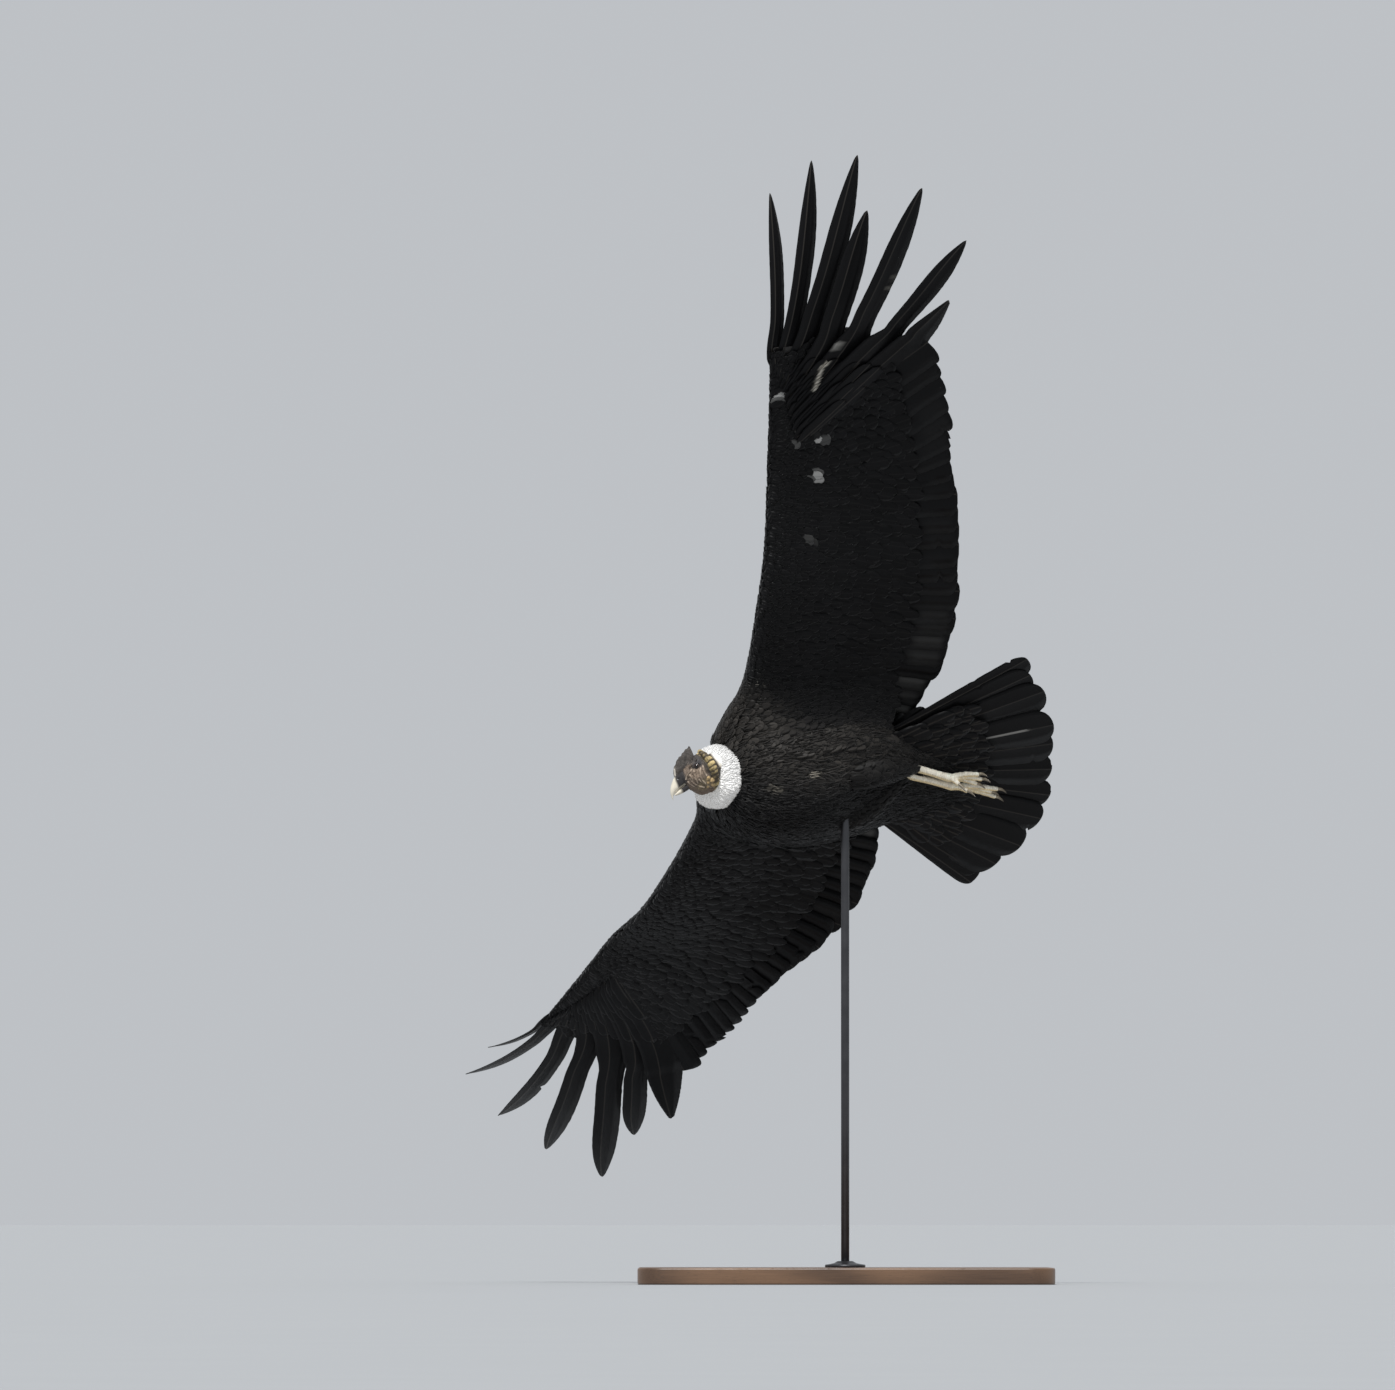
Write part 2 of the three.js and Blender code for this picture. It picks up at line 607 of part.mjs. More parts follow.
// Legs
for (const side of Object.keys(SIDES)) {
  const leg = LEGS[side];
  const thighTube = solidOf(taperedTube(leg.thigh, THIGH_RADII, 12, 7));
  const thigh = cut(thighTube, trunkRoom, rumpRoom, rodInBird);
  const thighRoom = solidOf(taperedTube(leg.thigh, THIGH_RADII, 12, 7, GAP));
  const shankPath = [leg.ankle, leg.foot];
  const shank = solidOf(taperedTube(shankPath, [SHANK_RADIUS, SHANK_RADIUS - 1], 8, 1));
  const footRoom = footSolid(leg, GAP);
  place(bird, `thigh_${side}`, geometryOf(thigh), BLACK_FEATHER);
  place(bird, `shank_${side}`, geometryOf(cut(shank, thighRoom, trunkRoom, rumpRoom, footRoom)), LEG_SKIN);
  place(bird, `foot_${side}`, geometryOf(footSolid(leg)), LEG_SKIN);
  [...leg.toes, leg.hallux].forEach((tip, i) => {
    const claw = solidOf(clawGeometry(leg, tip)).subtract(footRoom);
    place(bird, `claw_${side}_${i + 1}`, geometryOf(claw), CLAW_HORN);
  });
}

// Wings
for (const [side, sign] of Object.entries(SIDES)) {
  const facing = (geometry) => (sign > 0 ? geometry : mirrored(geometry));
  const last = WING_LEAD.length - 1;
  const upperArm = solidOf(facing(wingStretch(side, 0, ELBOW_STATION)));
  const handRoom = solidOf(facing(wingStretch(side, WRIST_STATION, last, GAP)));
  place(bird, `wing_${side}_upper_arm`, geometryOf(cut(upperArm, trunkRoom, rumpRoom)), BLACK_FEATHER);
  const forearm = facing(wingStretch(side, ELBOW_STATION, WRIST_STATION));
  place(bird, `wing_${side}_forearm`, forearm, BLACK_FEATHER);
  place(bird, `wing_${side}_hand`, facing(wingStretch(side, WRIST_STATION, last)), BLACK_FEATHER);
  let room = handRoom;
  for (const finger of FINGERS[side]) {
    const blade = solidOf(facing(bladeGeometry(finger)));
    place(bird, `primary_${side}_${finger.name}`, geometryOf(blade.subtract(room)), BLACK_FEATHER);
    room = room.add(solidOf(facing(bladeGeometry(finger, GAP))));
  }
}

// Head
const skull = solidOf(skullGeometry());
const skullRoom = solidOf(skullGeometry(GAP));
const eyeRooms = Object.values(SIDES).map((sign) => solidOf(indexed(eyeGeometry(sign, GAP))));
const upperBillRoom = solidOf(billGeometry(UPPER_BILL_STATIONS, GAP));
place(head, 'head', geometryOf(cut(skull, ...eyeRooms)), BARE_SKIN);
for (const [side, sign] of Object.entries(SIDES)) {
  place(head, `eye_${side}`, indexed(eyeGeometry(sign)), EYE_BROWN);
}
const upperBill = solidOf(billGeometry(UPPER_BILL_STATIONS)).subtract(skullRoom);
place(head, 'bill_upper', geometryOf(upperBill), IVORY_HORN);
const lowerBill = solidOf(billGeometry(LOWER_BILL_STATIONS));
place(head, 'bill_lower', geometryOf(cut(lowerBill, skullRoom, upperBillRoom)), IVORY_HORN);
const comb = solidOf(combGeometry());
place(head, 'comb', geometryOf(cut(comb, skullRoom, upperBillRoom)), COMB_SKIN);

// Neck and ruff
const skullInBird = solidOf(skullGeometry(GAP).applyMatrix4(headMatrix));
const neck = cut(solidOf(neckGeometry()), skullInBird, trunkRoom);
place(bird, 'neck', geometryOf(neck), BARE_SKIN);
const ruff = cut(solidOf(ruffGeometry()), solidOf(neckGeometry(GAP)), trunkRoom, skullInBird);
place(bird, 'ruff', geometryOf(ruff), WHITE_DOWN);
place(bird, 'trunk', geometryOf(trunk.subtract(rodInBird)), BLACK_FEATHER);

// Stand
place(condor, 'stand_base', standBase(), STAND_WOOD);
place(condor, 'stand_rod', rodGeometry(), STAND_STEEL);
place(condor, 'stand_collar', collarGeometry(), STAND_STEEL);

export default condor;
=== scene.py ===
"""The looks of a life-size Andean condor that glides on its display stand with the left wing high.

Lengths are metres. A wing is worked out as a left wing, with y outward, and the right one is its mirror
image with its own trailing edge. The bird's own axes are x towards the bill, y to its left and z to its
back. The head has axes of its own, with the origin between the eyes.
"""

import logging
import math
from collections.abc import Callable
from dataclasses import dataclass, field
from enum import Enum
from functools import partial

import bpy
import numpy as np
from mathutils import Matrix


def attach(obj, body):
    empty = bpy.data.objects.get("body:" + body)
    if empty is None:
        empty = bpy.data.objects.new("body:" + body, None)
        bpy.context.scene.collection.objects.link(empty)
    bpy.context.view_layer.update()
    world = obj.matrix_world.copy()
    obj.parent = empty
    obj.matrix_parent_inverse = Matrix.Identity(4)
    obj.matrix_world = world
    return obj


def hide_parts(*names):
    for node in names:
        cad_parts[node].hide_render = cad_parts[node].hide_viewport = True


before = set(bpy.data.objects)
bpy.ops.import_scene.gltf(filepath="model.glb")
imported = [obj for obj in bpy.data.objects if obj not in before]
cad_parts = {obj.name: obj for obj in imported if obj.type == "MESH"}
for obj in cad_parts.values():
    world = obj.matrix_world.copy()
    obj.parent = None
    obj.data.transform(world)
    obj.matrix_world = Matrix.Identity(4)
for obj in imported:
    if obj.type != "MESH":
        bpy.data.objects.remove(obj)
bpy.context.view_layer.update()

logging.basicConfig(level=logging.INFO, format="%(message)s")
LOG = logging.getLogger("condor")

MM = 0.001
FRAME_WIDTH_PX = 1395
PX_PER_METRE = 460
FEATHER_PATCH = 0.003


class Side(Enum):
    """The two sides of the bird, with the sign of y on each."""

    LEFT = 1
    RIGHT = -1

    @property
    def word(self) -> str:
        """The side's name as the solids write it."""
        return self.name.lower()


class Face(Enum):
    """The two faces of a wing or tail, with the sign of the height on each."""

    UNDER = -1
    UPPER = 1


@dataclass(frozen=True)
class Axes:
    """A set of axes: its origin, and its roll, pitch and yaw in degrees about x, y and z, in that order."""

    origin: tuple
    turn: tuple

    def matrix(self) -> np.ndarray:
        """The rotation matrix, yaw after pitch after roll.

        Returns:
            Three rows of three numbers.
        """
        roll, pitch, yaw = np.radians(self.turn)
        about_x = np.array([[1, 0, 0], [0, np.cos(roll), -np.sin(roll)], [0, np.sin(roll), np.cos(roll)]])
        about_y = np.array([[np.cos(pitch), 0, np.sin(pitch)], [0, 1, 0], [-np.sin(pitch), 0, np.cos(pitch)]])
        about_z = np.array([[np.cos(yaw), -np.sin(yaw), 0], [np.sin(yaw), np.cos(yaw), 0], [0, 0, 1]])
        return about_z @ about_y @ about_x

    def out(self, points: np.ndarray) -> np.ndarray:
        """Points from these axes to the ones outside them."""
        return points @ self.matrix().T + np.array(self.origin)

    def into(self, points: np.ndarray) -> np.ndarray:
        """Points from the axes outside to these."""
        return (points - np.array(self.origin)) @ self.matrix()


BIRD = Axes((-0.1848, 0.0, 1.1125), (44.8, 0.65, 201.1))
HEAD = Axes((0.175, 0.062, -0.045), (-43.3, 10.0, -39.0))


def unit(vectors: np.ndarray) -> np.ndarray:
    """Vectors scaled to a length of one."""
    return vectors / np.maximum(np.linalg.norm(vectors, axis=-1, keepdims=True), 1e-12)


def ease(low: float, high: float, values: np.ndarray) -> np.ndarray:
    """A smooth rise from 0 at low to 1 at high: 3x² - 2x³ of the clamped share."""
    share = np.clip((values - low) / (high - low), 0, 1)
    return share * share * (3 - 2 * share)


def metres(millimetres: object) -> np.ndarray:
    """Lengths in metres from lengths in millimetres."""
    return np.array(millimetres, float) * MM


def circle(count: int) -> np.ndarray:
    """Angles evenly round a whole turn."""
    return np.linspace(0, 2 * np.pi, count, endpoint=False)


def stacked(*numbers: object) -> np.ndarray:
    """Points from arrays of x, y and z that broadcast with each other."""
    return np.stack(np.broadcast_arrays(*numbers), -1)


def mixed(first: object, second: object, share: object) -> np.ndarray:
    """The first value where the share is 0, the second where it is 1, and a mix between."""
    return np.array(first) * (1 - share) + np.array(second) * share


def round_end(places: np.ndarray, begin: float, power: float, least: float) -> np.ndarray:
    """1 up to where the end begins, and down a rounded edge to near 0 at place 1."""
    return np.sqrt(np.maximum(1 - np.clip((places - begin) / (1 - begin), 0, 1) ** power, least))


def through(points: np.ndarray, places: np.ndarray) -> np.ndarray:
    """A Catmull-Rom curve through rows of points, which stand at the whole numbers.

    Args:
        points: one row for each station.
        places: where to read the curve, in stations. Past an end it goes straight on.

    Returns:
        The points of the curve, one row for each place.
    """
    points = np.asarray(points, float)
    padded = np.vstack([2 * points[0] - points[1], points, 2 * points[-1] - points[-2]])
    clipped = np.clip(places, 0, len(points) - 1)
    cell = np.minimum(clipped.astype(int), len(points) - 2)
    part = (clipped - cell)[..., None]
    a, b, c, d = (padded[cell + k] for k in range(4))
    curve = 0.5 * (
        2 * b + (c - a) * part + (2 * a - 5 * b + 4 * c - d) * part**2 + (3 * b - a - 3 * c + d) * part**3
    )
    before = (places - clipped)[..., None]
    slope = np.where(before < 0, points[1] - points[0], points[-1] - points[-2])
    return curve + before * slope


def traced(points: np.ndarray, count: int) -> np.ndarray:
    """The curve through rows of points, read at a number of even steps from its first to its last."""
    return through(points, np.linspace(0, len(points) - 1, count))


def hashed(cells: np.ndarray, seed: int) -> np.ndarray:
    """Random values from 0 to 1 for whole-numbered cells: the fraction of a large sine of their mix."""
    mixed = cells @ np.array([127.1, 311.7, 74.7]) + seed * 17.13
    return np.modf(np.abs(np.sin(mixed) * 43758.5453))[0]


def noise(points: np.ndarray, size: float, seed: int = 0) -> np.ndarray:
    """Smooth noise from -1 to 1: the eight corners' random values of each cell, blended across it.

    Args:
        points: where to read it, three numbers each.
        size: the length of a cell.
        seed: another seed gives other noise.

    Returns:
        One value for each point.
    """
    scaled = np.asarray(points, float) / size
    cell = np.floor(scaled)
    part = scaled - cell
    part = part * part * (3 - 2 * part)
    total = np.zeros(scaled.shape[:-1])
    for corner in np.ndindex(2, 2, 2):
        corner = np.array(corner)
        weight = np.prod(np.where(corner == 1, part, 1 - part), axis=-1)
        total = total + weight * hashed(cell + corner, seed)
    return 2 * total - 1


def grid_faces(rows: int, columns: int, closed: bool = True) -> np.ndarray:
    """Faces of a grid whose point (i, j) is number i * columns + j.

    Args:
        rows: number of rings.
        columns: number of points in a ring.
        closed: whether the last column meets the first.

    Returns:
        Four corners for each face.
    """
    i, j = np.meshgrid(np.arange(rows - 1), np.arange(columns if closed else columns - 1), indexing="ij")
    after = (j + 1) % columns
    here, behind = i * columns, (i + 1) * columns
    quads = np.stack([here + j, here + after, behind + after, behind + j], -1)
    return quads.reshape(-1, 4)


def capped_tube(rings: np.ndarray) -> tuple:
    """A closed skin over rings of points, each end closed by a fan round its middle.

    Args:
        rings: rings by points by three, each ring going round the same way.

    Returns:
        The points and the faces, with a fan's triangles given their last corner twice.
    """
    rows, columns = rings.shape[:2]
    points = np.vstack([rings.reshape(-1, 3), rings[0].mean(0), rings[-1].mean(0)])
    quads = grid_faces(rows, columns)
    here = np.arange(columns)
    after = (here + 1) % columns
    first = np.stack([np.full(columns, rows * columns), after, here, here], -1)
    here, after = here + (rows - 1) * columns, after + (rows - 1) * columns
    last = np.stack([np.full(columns, rows * columns + 1), here, after, after], -1)
    return points, facing_out(points, np.vstack([quads, first, last]))


def closed_ring(rings: np.ndarray) -> tuple:
    """A closed skin over rings of points, the last of which meets the first, as points and faces.

    Args:
        rings: rings by points by three.

    Returns:
        The points and the faces.
    """
    rows, columns = rings.shape[:2]
    points = rings.reshape(-1, 3)
    return points, facing_out(points, grid_faces(rows + 1, columns) % (rows * columns))


def facing_out(points: np.ndarray, faces: np.ndarray) -> np.ndarray:
    """The faces of closed skins, turned over where the sum of the volumes under them comes out below 0.

    Args:
        points: the corners.
        faces: four corner numbers for each face.

    Returns:
        The faces, all as they were or all turned over.
    """
    a, b, c, d = (points[faces[:, k]] - points.mean(0) for k in range(4))
    volume = np.einsum("ij,ij->", a, np.cross(b, c)) + np.einsum("ij,ij->", a, np.cross(c, d))
    if volume >= 0:
        return faces
    triangle = (faces[:, 2] == faces[:, 3])[:, None]
    return np.where(triangle, faces[:, [0, 2, 1, 1]], faces[:, [0, 3, 2, 1]])


def make_mesh(name: str, points: np.ndarray, faces: np.ndarray) -> bpy.types.Mesh:
    """A mesh from rows of four corners, where a triangle has its last corner twice.

    Args:
        name: the mesh's name.
        points: the places of its corners.
        faces: four corner numbers for each face.

    Returns:
        The mesh, shaded smooth.
    """
    triangle = faces[:, 2] == faces[:, 3]
    counts = np.where(triangle, 3, 4)
    keep = np.ones(faces.shape, bool)
    keep[triangle, 3] = False
    corners = faces[keep].astype(np.int32)
    mesh = bpy.data.meshes.new(name)
    mesh.vertices.add(len(points))
    mesh.vertices.foreach_set("co", np.ascontiguousarray(points, np.float32).ravel())
    mesh.loops.add(len(corners))
    mesh.loops.foreach_set("vertex_index", corners)
    mesh.polygons.add(len(faces))
    mesh.polygons.foreach_set("loop_start", np.concatenate([[0], np.cumsum(counts)[:-1]]).astype(np.int32))
    mesh.update(calc_edges=True)
    mesh.validate()
    mesh.shade_smooth()
    return mesh


def write_vectors(mesh: bpy.types.Mesh, name: str, values: np.ndarray) -> None:
    """Writes three numbers for each point of a mesh."""
    layer = mesh.attributes.new(name, "FLOAT_VECTOR", "POINT")
    layer.data.foreach_set("vector", np.ascontiguousarray(values, np.float32).ravel())


def write_colours(mesh: bpy.types.Mesh, name: str, colours: np.ndarray) -> None:
    """Writes a colour for each point of a mesh.

    Args:
        mesh: the mesh.
        name: the attribute's name.
        colours: rows of three numbers.
    """
    layer = mesh.attributes.new(name, "FLOAT_COLOR", "POINT")
    values = np.hstack([colours, np.ones((len(colours), 1))])
    layer.data.foreach_set("color", np.ascontiguousarray(values, np.float32).ravel())


def write_map(mesh: bpy.types.Mesh, places: np.ndarray) -> None:
    """Writes a UV map named OFBake from one place for each point of a mesh.

    Args:
        mesh: the mesh.
        places: rows of two numbers.
    """
    corners = np.zeros(len(mesh.loops), np.int32)
    mesh.loops.foreach_get("vertex_index", corners)
    layer = mesh.uv_layers.new(name="OFBake")
    layer.data.foreach_set("uv", np.ascontiguousarray(places[corners], np.float32).ravel())


def show(name: str, mesh: bpy.types.Mesh, finish: bpy.types.Material,
         nodes: tuple = ()) -> None:
    """Puts a finished mesh in the scene as a piece of the condor.

    Args:
        name: the piece's name.
        mesh: its mesh, in the row frame.
        finish: its material.
        nodes: the solids it stands for.
    """
    piece = bpy.data.objects.new(name, mesh)
    bpy.context.scene.collection.objects.link(piece)
    mesh.materials.clear()
    mesh.materials.append(finish)
    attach(piece, "root")
    if nodes:
        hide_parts(*nodes)
    LOG.info("%s: %d faces", name, len(mesh.polygons))


# Shader maths


class Tap:
    """A socket's value that can stand in a sum, a product or a power."""

    def __init__(self, bench: "Bench", socket: bpy.types.NodeSocket) -> None:
        """Keeps the bench that makes nodes and the socket that gives the value."""
        self.bench = bench
        self.socket = socket

    def maths(self, operation: str, *values: object) -> "Tap":
        """One Math node of this value and others."""
        node = self.bench.node("ShaderNodeMath", {"operation": operation}, *values)
        return Tap(self.bench, node.outputs[0])

    def __add__(self, other: object) -> "Tap":
        """The sum."""
        return self.maths("ADD", self, other)

    __radd__ = __add__

    def __mul__(self, other: object) -> "Tap":
        """The product."""
        return self.maths("MULTIPLY", self, other)

    __rmul__ = __mul__

    def __sub__(self, other: object) -> "Tap":
        """The difference."""
        return self.maths("SUBTRACT", self, other)

    def __rsub__(self, other: object) -> "Tap":
        """The difference the other way round."""
        return self.maths("SUBTRACT", other, self)

    def __truediv__(self, other: object) -> "Tap":
        """The quotient."""
        return self.maths("DIVIDE", self, other)

    def __abs__(self) -> "Tap":
        """The value without its sign."""
        return self.maths("ABSOLUTE", self)

    def sine(self) -> "Tap":
        """The sine of the value."""
        return self.maths("SINE", self)

    def ramp(self, low: float, high: float, start: float = 0.0, end: float = 1.0) -> "Tap":
        """A smooth step from start at low to end at high.

        Args:
            low: the value where it starts to change.
            high: the value where it stops.
            start: the result at low.
            end: the result at high.

        Returns:
            The result.
        """
        node = self.bench.node(
            "ShaderNodeMapRange", {"interpolation_type": "SMOOTHSTEP"}, self, low, high, start, end
        )
        return Tap(self.bench, node.outputs[0])


class Bench:
    """A material being made: its node tree, and the ways to add to it."""

    def __init__(self, name: str) -> None:
        """Starts an empty material with one shader, ready to be set.

        Args:
            name: the material's name.
        """
        self.material = bpy.data.materials.new(name)
        self.material.use_nodes = True
        self.tree = self.material.node_tree
        self.shader = next(n for n in self.tree.nodes if n.type == "BSDF_PRINCIPLED")

    def node(self, kind: str, settings: dict, *values: object, **named: object) -> bpy.types.Node:
        """Adds a node.

        Args:
            kind: the node's type.
            settings: its own settings, set first. "stops" fills a colour ramp.
            values: values or taps for its first inputs, in order, with None for one left alone.
            named: values or taps for inputs by name, with _ for a space.

        Returns:
            The node.
        """
        made = self.tree.nodes.new(kind)
        for key, value in settings.items():
            if key == "stops":
                self.fill_ramp(made, value)
            else:
                setattr(made, key, value)
        for socket, value in zip(made.inputs, values):
            self.feed(socket, value)
        for key, value in named.items():
            self.feed(made.inputs[key.replace("_", " ")], value)
        return made

    def feed(self, socket: bpy.types.NodeSocket, value: object) -> None:
        """Links a tap to a socket, or sets its value.

        Args:
            socket: an input.
            value: a tap, a value, or None to leave it alone.
        """
        if isinstance(value, Tap):
            self.tree.links.new(value.socket, socket)
        elif value is not None:
            socket.default_value = value

    def fill_ramp(self, made: bpy.types.Node, stops: tuple) -> None:
        """Gives a colour ramp its stops, each a place and a colour.

        Args:
            made: the ramp's node.
            stops: pairs of a place and a colour.
        """
        elements = made.color_ramp.elements
        while len(elements) < len(stops):
            elements.new(0.5)
        for element, (place, colour) in zip(elements, stops):
            element.position = place
            element.color = (*colour, 1.0)

    def attribute(self, name: str, output: str) -> Tap:
        """The value of an attribute of the mesh."""
        return Tap(self, self.node("ShaderNodeAttribute", {"attribute_name": name}).outputs[output])

    def parts(self, vector: Tap) -> tuple:
        """The three numbers of a vector."""
        made = self.node("ShaderNodeSeparateXYZ", {}, vector)
        return tuple(Tap(self, output) for output in made.outputs)

    def joined(self, x: object, y: object, z: object = 0.0) -> Tap:
        """A vector of three numbers."""
        return Tap(self, self.node("ShaderNodeCombineXYZ", {}, x, y, z).outputs[0])

    def place(self) -> Tap:
        """The point's place in the object's axes."""
        return Tap(self, self.node("ShaderNodeTexCoord", {}).outputs["Object"])

    def grain(self, vector: Tap, scale: float, detail: float = 2.0, rough: float = 0.5) -> Tap:
        """Smooth noise from 0 to 1."""
        made = self.node("ShaderNodeTexNoise", {}, Vector=vector, Scale=scale, Detail=detail, Roughness=rough)
        return Tap(self, made.outputs[0])

    def cells(self, vector: Tap, scale: float, feature: str = "F1", output: str = "Distance") -> Tap:
        """Distance to the nearest of scattered points, or to the edge between them."""
        made = self.node("ShaderNodeTexVoronoi", {"feature": feature}, Vector=vector, Scale=scale)
        return Tap(self, made.outputs[output])

    def mixed(self, share: object, first: object, second: object, blend: str = "MIX") -> Tap:
        """A mix of two colours.

        Args:
            share: how much of the second.
            first: a colour or tap.
            second: a colour or tap.
            blend: the way of mixing.

        Returns:
            The mix.
        """
        made = self.node("ShaderNodeMix", {"data_type": "RGBA", "blend_type": blend, "clamp_factor": True})
        self.feed(made.inputs[0], share)
        self.feed(made.inputs[6], colour_of(first))
        self.feed(made.inputs[7], colour_of(second))
        return Tap(self, made.outputs[2])

    def tinted(self, colour: Tap, amount: Tap) -> Tap:
        """A colour made lighter or darker by an amount round one.

        Args:
            colour: the colour.
            amount: what it is multiplied by.

        Returns:
            The colour.
        """
        grey = self.joined(amount, amount, amount)
        made = self.node("ShaderNodeVectorMath", {"operation": "MULTIPLY"}, colour, grey)
        return Tap(self, made.outputs[0])

    def bump(self, height: Tap, strength: float, distance: float) -> None:
        """Feeds the shader's normal from a height."""
        made = self.node("ShaderNodeBump", {}, Strength=strength, Distance=distance, Height=height)
        self.tree.links.new(made.outputs[0], self.shader.inputs["Normal"])

    def coat(self, **values: object) -> None:
        """Sets the shader's inputs by name, with _ for a space."""
        for key, value in values.items():
            self.feed(self.shader.inputs[key.replace("_", " ")], value)


def colour_of(value: object) -> object:
    """A colour with its fourth number, or the value as it is."""
    return (*value, 1.0) if isinstance(value, tuple) and len(value) == 3 else value


@dataclass(frozen=True)
class PlumageFinish:
    """Feathers: the colour that each one carries, its barbs, and a pale or dark shaft."""

    name: str
    roughness: float
    sheen: float
    shaft: tuple
    shaft_width: float = 0.0006
    barb: float = 0.0012
    relief: float = 0.22
    gloss: float = 0.12

    def make(self) -> bpy.types.Material:
        """Makes the material.

        The barbs are slanting lines, the sine of the distance along plus that across. The shaft is a line
        at the middle of each vane.

        Returns:
            The material.
        """
        bench = Bench(self.name)
        across, along, chance = bench.parts(bench.attribute("vane", "Vector"))
        colour = bench.attribute("plumage", "Color")
        side = abs(across)
        slant = (along + side * 0.9) * (2 * math.pi / self.barb)
        wander = bench.grain(bench.joined(across * 60, along * 14, chance * 9), 1.0, 3.0)
        barbs = (slant + wander * 9.0).sine() * 0.5 + 0.5
        streaks = bench.grain(bench.joined(across * 300, along * 30, chance * 31), 1.0, 2.0)
        tone = barbs * 0.10 + streaks * 0.40 + chance * 0.24 + 0.62
        shaft = 1 - side.ramp(self.shaft_width * 0.55, self.shaft_width)
        body = bench.tinted(colour, tone)
        bench.coat(Base_Color=bench.mixed(shaft * 0.6, body, self.shaft))
        bench.coat(Roughness=streaks * 0.22 + (self.roughness - 0.11) - shaft * 0.12)
        bench.coat(Sheen_Weight=self.sheen, Sheen_Roughness=0.4, Specular_IOR_Level=self.gloss)
        bench.bump(barbs * 0.5 + streaks * 0.8 + shaft * 1.2, self.relief, 0.0006)
        return bench.material


@dataclass(frozen=True)
class DownFinish:
    """White down: loose, matt, slightly warm in its depth, with a faint white glow that is painted light."""

    name: str = "white down"
    glow: float = 0.16

    def make(self) -> bpy.types.Material:
        """Makes the material, darker towards each tuft's root as painted shade, with a faint glow as painted
        light.

        Returns:
            The material.
        """
        bench = Bench(self.name)
        across, along, chance = bench.parts(bench.attribute("vane", "Vector"))
        colour = bench.attribute("plumage", "Color")
        strands = bench.grain(bench.joined(across * 900, along * 60, chance * 17), 1.0, 2.0)
        tone = strands * 0.10 + chance * 0.05 + 0.93
        bench.coat(Base_Color=bench.tinted(colour, tone), Roughness=0.9)
        # The down glows faintly: painted light that lifts the shade between the tufts.
        bench.coat(Emission_Color=bench.tinted(colour, tone), Emission_Strength=self.glow)
        bench.coat(Sheen_Weight=0.3, Sheen_Roughness=0.5, Specular_IOR_Level=0.15)
        bench.bump(strands, 0.3, 0.0005)
        return bench.material


@dataclass(frozen=True)
class SkinFinish:
    """Bare skin: the colour it carries, with fine wrinkles, pores and a little gloss."""

    name: str
    roughness: float = 0.5
    wrinkle: float = 900.0

    def make(self) -> bpy.types.Material:
        """Makes the material: fine noise for the mottling and small cells for the wrinkles.

        Returns:
            The material.
        """
        bench = Bench(self.name)
        place = bench.place()
        colour = bench.attribute("tint", "Color")
        mottle = bench.grain(place, 260.0, 4.0, 0.6)
        creases = bench.cells(place, self.wrinkle, "DISTANCE_TO_EDGE").ramp(0.0, 0.12)
        # The wrinkle lines are painted darker, as shade in them.
        tone = mottle * 0.7 + creases * 0.3 + 0.42
        bench.coat(Base_Color=bench.tinted(colour, tone), Roughness=mottle * 0.3 + (self.roughness - 0.12))
        bench.coat(Specular_IOR_Level=0.45)
        bench.bump(creases * 0.6 + mottle * 0.9, 0.5, 0.0006)
        return bench.material


@dataclass(frozen=True)
class HornFinish:
    """Horn of the bill and claws: the colour it carries, growth lines and a soft polish."""

    name: str
    roughness: float = 0.32

    def make(self) -> bpy.types.Material:
        """Makes the material, with fine streaks along the horn.

        Returns:
            The material.
        """
        bench = Bench(self.name)
        place = bench.place()
        colour = bench.attribute("tint", "Color")
        streaks = bench.grain(place, 420.0, 3.0, 0.6)
        cloud = bench.grain(place, 90.0, 2.0)
        tone = streaks * 0.22 + cloud * 0.3 + 0.74
        bench.coat(Base_Color=bench.tinted(colour, tone), Roughness=cloud * 0.2 + (self.roughness - 0.1))
        bench.coat(Coat_Weight=0.25, Coat_Roughness=0.15)
        bench.bump(streaks, 0.12, 0.0004)
        return bench.material


@dataclass(frozen=True)
class WoodFinish:
    """Oiled dark hardwood, with its grain along x."""

    name: str = "oiled walnut"
    dark: tuple = (0.045, 0.024, 0.014)
    pale: tuple = (0.17, 0.095, 0.052)
    pore: tuple = (0.02, 0.012, 0.008)

    def make(self) -> bpy.types.Material:
        """Makes the material: long noise bent by wider noise for the rings, and short dark pores.

        Returns:
            The material.
        """
        bench = Bench(self.name)
        x, y, z = bench.parts(bench.place())
        bend = bench.grain(bench.joined(x * 1.2, y * 3.0, z * 3.0), 1.0, 2.0)
        rings = ((y * 60 + bend * 26 + z * 20).sine() * 0.5 + 0.5) * 0.6
        fibre = bench.grain(bench.joined(x * 14, y * 420, z * 420), 1.0, 3.0)
        pores = bench.grain(bench.joined(x * 60, y * 900, z * 900), 1.0, 1.0).ramp(0.62, 0.74)
        share = rings + fibre * 0.5
        wood = bench.mixed(share, self.dark, self.pale)
        bench.coat(Base_Color=bench.mixed(pores * 0.6, wood, self.pore))
        bench.coat(Roughness=fibre * 0.18 + pores * 0.2 + 0.3, Coat_Weight=0.12, Coat_Roughness=0.3)
        bench.bump(fibre * 0.4 - pores * 1.0, 0.2, 0.0005)
        return bench.material


